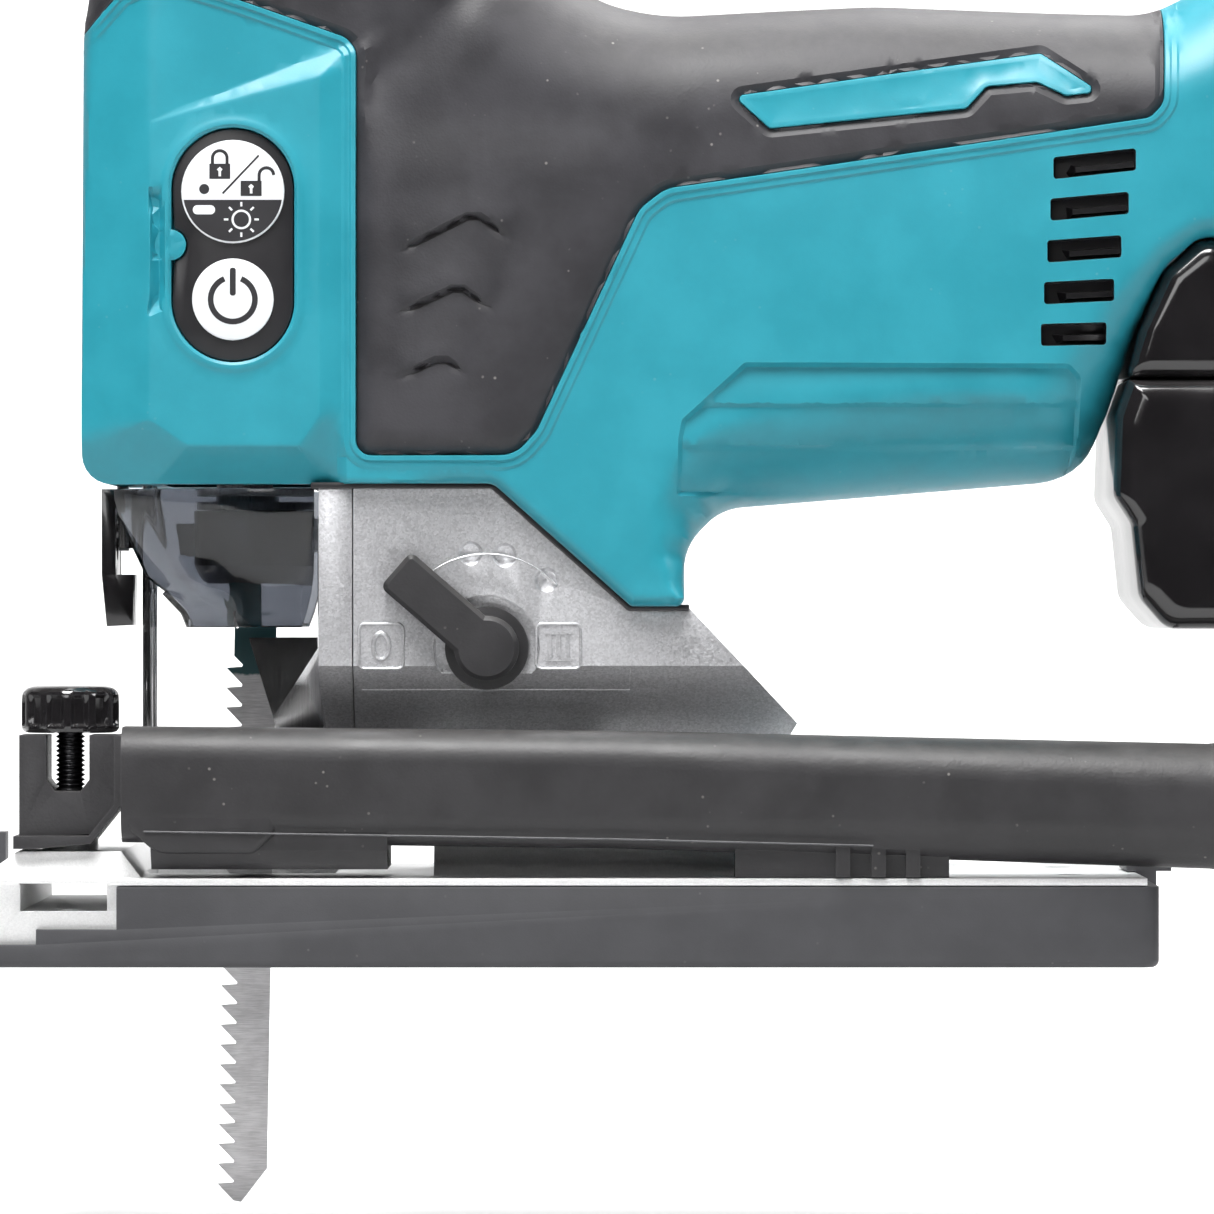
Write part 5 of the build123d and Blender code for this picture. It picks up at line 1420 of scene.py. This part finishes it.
@dataclass
class GearHousing:
    """The die-cast gear housing with its marks, seal and lever."""

    frame: dict
    face: float = -26.0
    hub: Point2 = (39.4, 50.0)

    def build(self) -> None:
        """Builds the housing's outside."""
        casting = self.start("gear_housing")
        for x, z in ((36.8, 65.0), (42.2, 64.7), (48.9, 60.8)):
            carve(casting, turned([(0.02, -1.2), (1.5, -0.8), (2.3, 0.0), (2.7, 1.0)][::-1], (x, self.face - 0.35, z), "Y", 32).changed(
                lambda v, y0=self.face: Vector((v.x, 2 * (y0 - 0.35) - v.y, v.z))))
        carve(casting, slab_y([p for p in arc(self.hub, 8.4, 0, 354, 59)], self.face - 1, self.face + 0.9))
        soften(casting, 0.35, 2)
        Piece("gear_casting", "tool", "cast_alloy", "silver", ("gear_housing",)).finish_off(casting)
        eased_copy(self.frame, "gear_housing_cover", "gear_front_cover", 0.35, "silver", "cast_alloy", "tool")
        eased_copy(self.frame, "orbit_lever", "orbit_handle", 0.55, "black", "black_plastic", "orbit_lever", 3)
        self.marks()
        self.seal()

    def start(self, node: str) -> bpy.types.Object:
        """Copies a CAD node, merged and cleaned, to be carved."""
        mesh = self.frame["nodes"][node].data.copy()
        work = bmesh.new()
        work.from_mesh(mesh)
        bmesh.ops.remove_doubles(work, verts=work.verts, dist=0.002 * MM)
        bmesh.ops.dissolve_limit(work, angle_limit=math.radians(0.6), verts=work.verts, edges=work.edges)
        work.to_mesh(mesh)
        work.free()
        piece = bpy.data.objects.new(node + "_copy", mesh)
        bpy.context.scene.collection.objects.link(piece)
        return piece

    def marks(self) -> None:
        """The orbit positions: a nought and three bars in raised frames, and a thin arc."""
        shape = Shape()
        y0, y1 = self.face + 0.2, self.face - 0.28
        for cx in (22.7, 50.7):
            cz = 50.3
            outer = rounded([(cx - 3.5, cz - 3.5, 0.9), (cx + 3.5, cz - 3.5, 0.9), (cx + 3.5, cz + 3.5, 0.9), (cx - 3.5, cz + 3.5, 0.9)])
            shape = shape + tube([(x, self.face - 0.05, z) for x, z in outer], 0.26, 8, looped=True)
        nought = [(22.7 + 1.25 * math.cos(a), 50.3 + 2.1 * math.sin(a)) for a in (math.tau * k / 32 for k in range(32))]
        shape = shape + tube([(x, self.face - 0.05, z) for x, z in nought], 0.38, 8, looped=True)
        for x in (49.3, 50.7, 52.1):
            shape = shape + slab_y([(x - 0.35, 48.4), (x + 0.35, 48.4), (x + 0.35, 52.2), (x - 0.35, 52.2)], y0, y1)
        for z in (48.2, 52.4):
            shape = shape + slab_y([(48.6, z - 0.25), (52.8, z - 0.25), (52.8, z + 0.25), (48.6, z + 0.25)], y0, y1)
        line = arc(self.hub, 14.9, 42, 128, 30)
        shape = shape + tube([(x, self.face + 0.02, z) for x, z in line], 0.13, 6)
        shape = shape + tube([(19.5, self.face + 3.8, 43.4), (62.0, self.face + 3.8, 43.4), (62.0, self.face + 0.4, 46.8)], 0.12, 6)
        Piece("orbit_marks", "tool", "cast_alloy", "silver").make(shape)

    def seal(self) -> None:
        """The dark seal between the gear housing and the body."""
        line = [(11.6, 75.2), (40.1, 75.2), (61.7, 55.9), (71.4, 55.9), (71.4, 56.9), (62.3, 56.9), (40.6, 76.2), (11.6, 76.2)]
        Piece("gear_seal", "tool", "dark_plastic", "panel").make(slab_y(line, -26.6, 26.6), 0.2)


@dataclass
class DustCover:
    """The clear cover in front of the blade clamp."""

    # each level: z, nose, rear, half width
    levels: tuple[tuple[float, float, float, float], ...] = (
        (75.3, -21.3, 12.0, 23.3), (73.6, -21.2, 12.0, 23.2), (71.0, -20.5, 12.0, 22.9), (66.0, -18.4, 12.0, 21.9),
        (61.2, -16.2, 11.8, 20.4), (58.6, -12.9, 11.4, 19.0), (55.4, -9.9, 10.6, 17.4), (53.2, -9.0, 9.8, 16.4),
    )

    def build(self) -> None:
        """Builds the cover as one folded sheet."""
        rows = []
        for z, nose, rear, half in self.levels:
            plan = [(rear, -half, 0), (1.5, -half, 3.0), (nose + 7.0, -half * 0.80, 2.2), (nose, -9.6, 1.2), (nose, 0, 0), (nose, 9.6, 1.2),
                    (nose + 7.0, half * 0.80, 2.2), (1.5, half, 3.0), (rear, half, 0)]
            line: list[Point2] = []
            for i, (x, y, r) in enumerate(plan):
                if r == 0:
                    line.append((x, y))
                    continue
                here = Vector((x, y))
                start = here + (Vector(plan[i - 1][:2]) - here).normalized() * r
                end = here + (Vector(plan[i + 1][:2]) - here).normalized() * r
                for k in range(6):
                    t = k / 5
                    p = start * (1 - t) ** 2 + here * 2 * t * (1 - t) + end * t * t
                    line.append((p.x, p.y))
            rows.append([(x, y, z) for x, y in line])
        verts = [Vector(p) for row in rows for p in row]
        count = len(rows[0])
        faces = []
        for k in range(len(rows) - 1):
            for i in range(count - 1):
                quad = (k * count + i, k * count + i + 1, (k + 1) * count + i + 1, (k + 1) * count + i)
                middle = sum((verts[q] for q in quad), Vector()) / 4
                if not (abs(middle.y) < 10.6 and middle.x < -8.0 and middle.z > 57.0):
                    faces.append(quad)
        cover = mesh_object(Shape(verts, faces), "dust_shield")
        thick = cover.modifiers.new("wall", "SOLIDIFY")
        thick.thickness = 1.5 * MM
        thick.offset = -1.0
        thick.use_even_offset = True
        bake(cover)
        soften(cover, 0.3, 2, 40.0)
        Piece("dust_shield", "dust_cover", "smoked_plastic", "smoked", ("dust_cover",)).finish_off(cover)


@dataclass
class Knob:
    """The fluted knob and the screw that clamp the nozzle and the fence."""

    centre: Point2 = (-26.2, -29.0)
    flutes: int = 12

    def build(self) -> None:
        """Builds the knob and the screw."""
        steps = self.flutes * 14
        profile = ((36.7, 6.6, 0.0), (36.9, 7.3, 0.0), (37.4, 7.65, 0.0), (37.8, 7.7, 0.1), (38.2, 7.7, 0.9), (39.4, 7.7, 1.0),
                   (41.2, 7.7, 1.0), (42.2, 7.65, 0.85), (42.7, 7.6, 0.2), (43.2, 7.35, 0.0), (43.7, 6.8, 0.0), (44.0, 5.9, 0.0),
                   (43.85, 4.8, 0.0), (43.3, 4.4, 0.0), (43.2, 0.4, 0.0))
        rings = []
        for z, radius, depth in profile:
            ring = []
            for k in range(steps):
                a = math.tau * k / steps
                phase = (k % 14) / 14.0
                cut = depth * 0.85 * float(ramp(np.array([0.5 - abs(phase - 0.5)]), 0.12, 0.30)[0])
                ring.append((self.centre[0] + (radius - cut) * math.cos(a), self.centre[1] + (radius - cut) * math.sin(a), z))
            rings.append(ring)
        Piece("knob_grip", "knob", "gloss_black", "piano", ("clamp_knob",)).make(loft(rings))
        thread = [(2.2, 13.7), (2.25, 14.6)]
        z = 15.0
        while z < 36.4:
            thread += [(2.28, z), (2.25, z + 0.15), (1.85, z + 0.42), (1.9, z + 0.55)]
            z += 0.75
        thread.append((2.2, 36.8))
        Piece("knob_screw", "knob", "dark_steel", "dark_steel").make(turned(thread, (*self.centre, 0.0), "Z", 28))


@dataclass
class BladeGear:
    """The small parts round the blade."""

    frame: dict

    def build(self) -> None:
        """Rounds the edges of the small parts."""
        eased_copy(self.frame, "release_lever", "release_tab", 0.7, "piano", "gloss_black", "release_lever", 3)
        eased_copy(self.frame, "roller_retainer", "roller_fork", 0.25, "polished", "polished_steel", "retainer")
        eased_copy(self.frame, "blade_clamp_sleeve", "clamp_ring", 0.35, "dark_steel", "dark_steel", "clamp_sleeve")
        eased_copy(self.frame, "retainer_stop", "stop_dome", 0.2, "piano", "gloss_black", "tool")


# ------------------------------------------------------------------ base and nozzle


@dataclass
class Base:
    """The sole, its cover plate and the dust nozzle."""

    frame: dict

    def build(self) -> None:
        """Rounds the edges of the base's parts."""
        eased_copy(self.frame, "base", "base_casting", 0.45, "satin", "base_alloy", "base")
        eased_copy(self.frame, "cover_plate", "sole_cover", 0.5, "charcoal", "dark_plastic", "base")
        eased_copy(self.frame, "dust_nozzle", "nozzle_duct", 0.5, "black", "black_plastic", "base", 3)
        belly = rounded([(-17.4, 30, 1), (-17.2, 22.5, 5), (-12.0, 17.9, 5), (3.2, 17.9, 2), (6.5, 21.0, 2), (6.5, 30, 1)])
        Piece("nozzle_belly", "base", "black_plastic", "black").make(slab_y(belly, -40.5, -23.0), 2.4, 4)
        lip = [(-14.0, -40.66, 21.4), (60.0, -40.66, 20.2), (100.0, -41.0, 19.2)]
        Piece("nozzle_seam", "base", "black_plastic", "charcoal").make(tube(lip, 0.16, 6))


# ------------------------------------------------------------------ battery and dock


def pillow(outline: Sequence[tuple[float, float, float]], half: float, radius: float, step: float = 1.5) -> Shape:
    """A body with an (x, z) outline and both of its side edges rounded.

    Args:
        outline: Corners, each with its rounding.
        half: Half of its width.
        radius: Radius of the side edges.
        step: Spacing of the points along the outline.

    Returns:
        The body.
    """
    line = resampled(rounded(outline), step)
    low, high = line.min(axis=0), line.max(axis=0)
    middle, span = (low + high) / 2, high - low
    rings = []
    angles = [math.radians(90.0 * k / 6) for k in range(7)]
    # from the widest line out to the flat side face, with one more ring inside the face
    ends = [(radius * (1 - math.cos(a)), half - radius * (1 - math.sin(a))) for a in angles] + [(radius + 0.6, half)]
    for inset, y in [(i, -y) for i, y in reversed(ends)] + ends:
        moved = middle + (line - middle) * (1.0 - 2.0 * inset / span)
        rings.append([(x, y, z) for x, z in moved])
    return loft(rings)


@dataclass
class Battery:
    """The slide battery and the dock it slides into."""

    frame: dict

    def build(self) -> None:
        """Builds the case, its rails and the dock."""
        upper = [(152.0, 114.5, 3), (146.6, 109.6, 4), (142.4, 99.8, 8), (140.6, 92.7, 0.8), (207, 92.7, 0.8), (207.6, 111, 4), (204, 114.5, 4)]
        case = pillow(upper, 27.7, 3.2) + box(154, 205.4, -14.3, 14.3, 113.6, 119.4)
        for y0, y1 in ((-18.2, -10.0), (-8.0, -1.0), (1.0, 8.0), (10.0, 18.2)):
            case = case + box(154, 176.0, y0, y1, 118.9, 122.2)
        case = case + box(176.0, 205.4, -18.2, 18.2, 118.9, 122.2)
        Piece("pack_top", "battery", "gloss_black", "piano", ("battery_case_upper",)).make(case)
        lower = [(140.8, 92.5, 0.6), (138.9, 87, 6), (138.4, 74, 3), (141.2, 69.6, 3), (142.4, 58, 4), (146.8, 53, 4), (201, 53, 4),
                 (206, 58, 4), (207, 92.5, 0.6)]
        Piece("pack_bottom", "battery", "gloss_black", "piano", ("battery_case_lower",)).make(pillow(lower, 28.6, 3.6), 0.0)
        eased_copy(self.frame, "battery_button", "pack_button", 0.6, "charcoal", "dark_plastic", "battery_button")
        dock = [(-26, 116.2), (-14.7, 116.2), (-14.7, 118.4), (-18.7, 118.4), (-18.7, 122.7), (18.7, 122.7), (18.7, 118.4), (14.7, 118.4),
                (14.7, 116.2), (26, 116.2), (22, 126), (-22, 126)]
        Piece("dock_rails", "tool", "black_plastic", "charcoal").make(slab_x(dock, 152.6, 204.0), 0.3)


# ------------------------------------------------------------------ the studio


@dataclass
class Studio:
    """Pale floor and backdrop, soft lights and the camera."""

    centre: Point3 = (58.4, 0.0, 56.5)
    distance: float = 1300.0
    lens: float = 239.0
    floor: float = -42.5

    def build(self) -> None:
        """Makes the studio."""
        self.sweep()
        self.lights()
        self.camera()

    def sweep(self) -> None:
        """A floor that curves up into the backdrop."""
        back, near, wide, height, bend = 1100.0, -420.0, 2600.0, 2200.0, 500.0
        line = [(near, self.floor), (back - bend, self.floor)]
        line += arc((back - bend, self.floor + bend), bend, -90.0, 0.0, 16)[1:]
        line.append((back, height))
        verts = [Vector((x, y, z)) for y, z in line for x in (-wide, wide)]
        faces = [(2 * i, 2 * i + 1, 2 * i + 3, 2 * i + 2) for i in range(len(line) - 1)]
        mesh = bpy.data.meshes.new("studio_sweep")
        mesh.from_pydata([tuple(v * MM) for v in verts], [], faces)
        floor = bpy.data.objects.new("studio_sweep", mesh)
        bpy.context.scene.collection.objects.link(floor)
        shade(floor, math.radians(60.0))
        material, w, shader = start_material("studio_paper")
        place = w.add("ShaderNodeTexCoord").outputs["Object"]
        w.link(w.blend(w.noise(place, 6.0, 3.0), (0.62, 0.62, 0.62), (0.65, 0.65, 0.65)), shader.inputs["Base Color"])
        shader.inputs["Roughness"].default_value = 0.9
        shader.inputs["Emission Color"].default_value = (1.0, 1.0, 1.0, 1.0)
        seen = w.add("ShaderNodeLightPath").outputs["Is Camera Ray"]
        w.link(w.maths("MULTIPLY", seen, 0.62), shader.inputs["Emission Strength"])
        # Seen from outside, the backdrop lets the view through.
        seen_through = w.add("ShaderNodeMixShader")
        w.link(w.add("ShaderNodeNewGeometry").outputs["Backfacing"], seen_through.inputs[0])
        w.link(shader.outputs[0], seen_through.inputs[1])
        w.link(w.add("ShaderNodeBsdfTransparent").outputs[0], seen_through.inputs[2])
        w.link(seen_through.outputs[0], material.node_tree.nodes["Material Output"].inputs["Surface"])
        floor.data.materials.append(material)

    def lights(self) -> None:
        """Soft boxes and an even white surround."""
        self.soft_box("key", (-120.0, -480.0, 1100.0), 560.0, 24.0)
        self.soft_box("fill", (-260.0, -1450.0, 620.0), 520.0, 3.5)
        self.soft_box("rim", (350.0, 420.0, 1000.0), 800.0, 12.0)
        self.soft_box("tail", (900.0, -300.0, 620.0), 320.0, 3.0)
        world = bpy.data.worlds.new("studio_air")
        world.use_nodes = True
        w = Wiring(world.node_tree)
        split = w.add("ShaderNodeSeparateXYZ")
        w.link(w.add("ShaderNodeTexCoord").outputs["Generated"], split.inputs[0])
        sky = w.span(split.outputs["Z"], -0.25, 0.55, 0.0006, 0.0254)
        seen = w.add("ShaderNodeLightPath").outputs["Is Camera Ray"]
        air = world.node_tree.nodes["Background"]
        air.inputs[0].default_value = (1.0, 1.0, 1.0, 1.0)
        w.link(w.maths("MAXIMUM", seen, sky), air.inputs[1])
        bpy.context.scene.world = world
        bpy.context.scene.view_settings.view_transform = "Standard"

    def soft_box(self, name: str, place: Point3, size: float, power: float) -> None:
        """Adds one square light that faces the saw.

        Args:
            name: Its name.
            place: Its place in millimetres.
            size: Its side in millimetres.
            power: Its power in watts.
        """
        data = bpy.data.lights.new(name, "AREA")
        data.size = size * MM
        data.energy = power
        light = bpy.data.objects.new(name, data)
        bpy.context.scene.collection.objects.link(light)
        light.location = Vector(place) * MM
        light.rotation_euler = (Vector(self.centre) - Vector(place)).to_track_quat("-Z", "Y").to_euler()

    def camera(self) -> None:
        """Places the camera square to the saw's side."""
        data = bpy.data.cameras.new("view")
        data.sensor_width = 36.0
        data.lens = self.lens
        data.clip_start, data.clip_end = 0.05, 20.0
        camera = bpy.data.objects.new("view", data)
        bpy.context.scene.collection.objects.link(camera)
        camera.location = Vector((self.centre[0], -self.distance, self.centre[2])) * MM
        camera.rotation_euler = (math.pi / 2, 0.0, 0.0)
        bpy.context.scene.camera = camera


# ------------------------------------------------------------------ plain CAD nodes


@dataclass
class WorkingParts:
    """Inner and small parts whose CAD shape stays."""

    frame: dict

    def build(self) -> None:
        """Dresses the parts."""
        finishes = {
            "zinc": ("housing_screws", "gear_cover_bolts", "base_clamp_bolt"),
            "board": ("circuit_boards", "battery_board"),
            "steel": ("orbit_cam", "motor_rotor", "motor_pinion", "crank_gear", "crank_axle", "plunger", "swing_frame",
                      "blade_clamp_core", "guide_roller", "roller_pin", "retainer_axle", "lever_pin",
                      "base_clamp_plate", "base_clamp_nut"),
            "polished": ("motor_bearings", "crank_roller", "wire_guard"),
            "laminate": ("motor_stator",),
            "bronze": ("plunger_bushes",),
            "blade": ("blade",),
            "copper": ("terminal_blades",),
            "wrap": ("battery_cells",),
            "clear": ("lamp_lens",),
            "black": ("motor_fan", "motor_rear_bracket", "controller", "terminal_block"),
            "charcoal": ("speed_dial",),
            "panel": ("battery_gauge",),
        }
        for finish, nodes in finishes.items():
            dress(self.frame, finish, *nodes)
            LOG.info("%s: %d parts", finish, len(nodes))


def main() -> None:
    """Builds the studio and the saw."""
    logging.basicConfig(level=logging.INFO, format="%(name)s %(message)s")
    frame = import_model()
    Studio().build()
    WorkingParts(frame).build()
    Body().build()
    ButtonPanel("left", -1.0).build()
    ButtonPanel("right", 1.0).build()
    GearHousing(frame).build()
    DustCover().build()
    BladeGear(frame).build()
    Knob().build()
    Base(frame).build()
    Battery(frame).build()


if __name__ == "__main__":
    main()
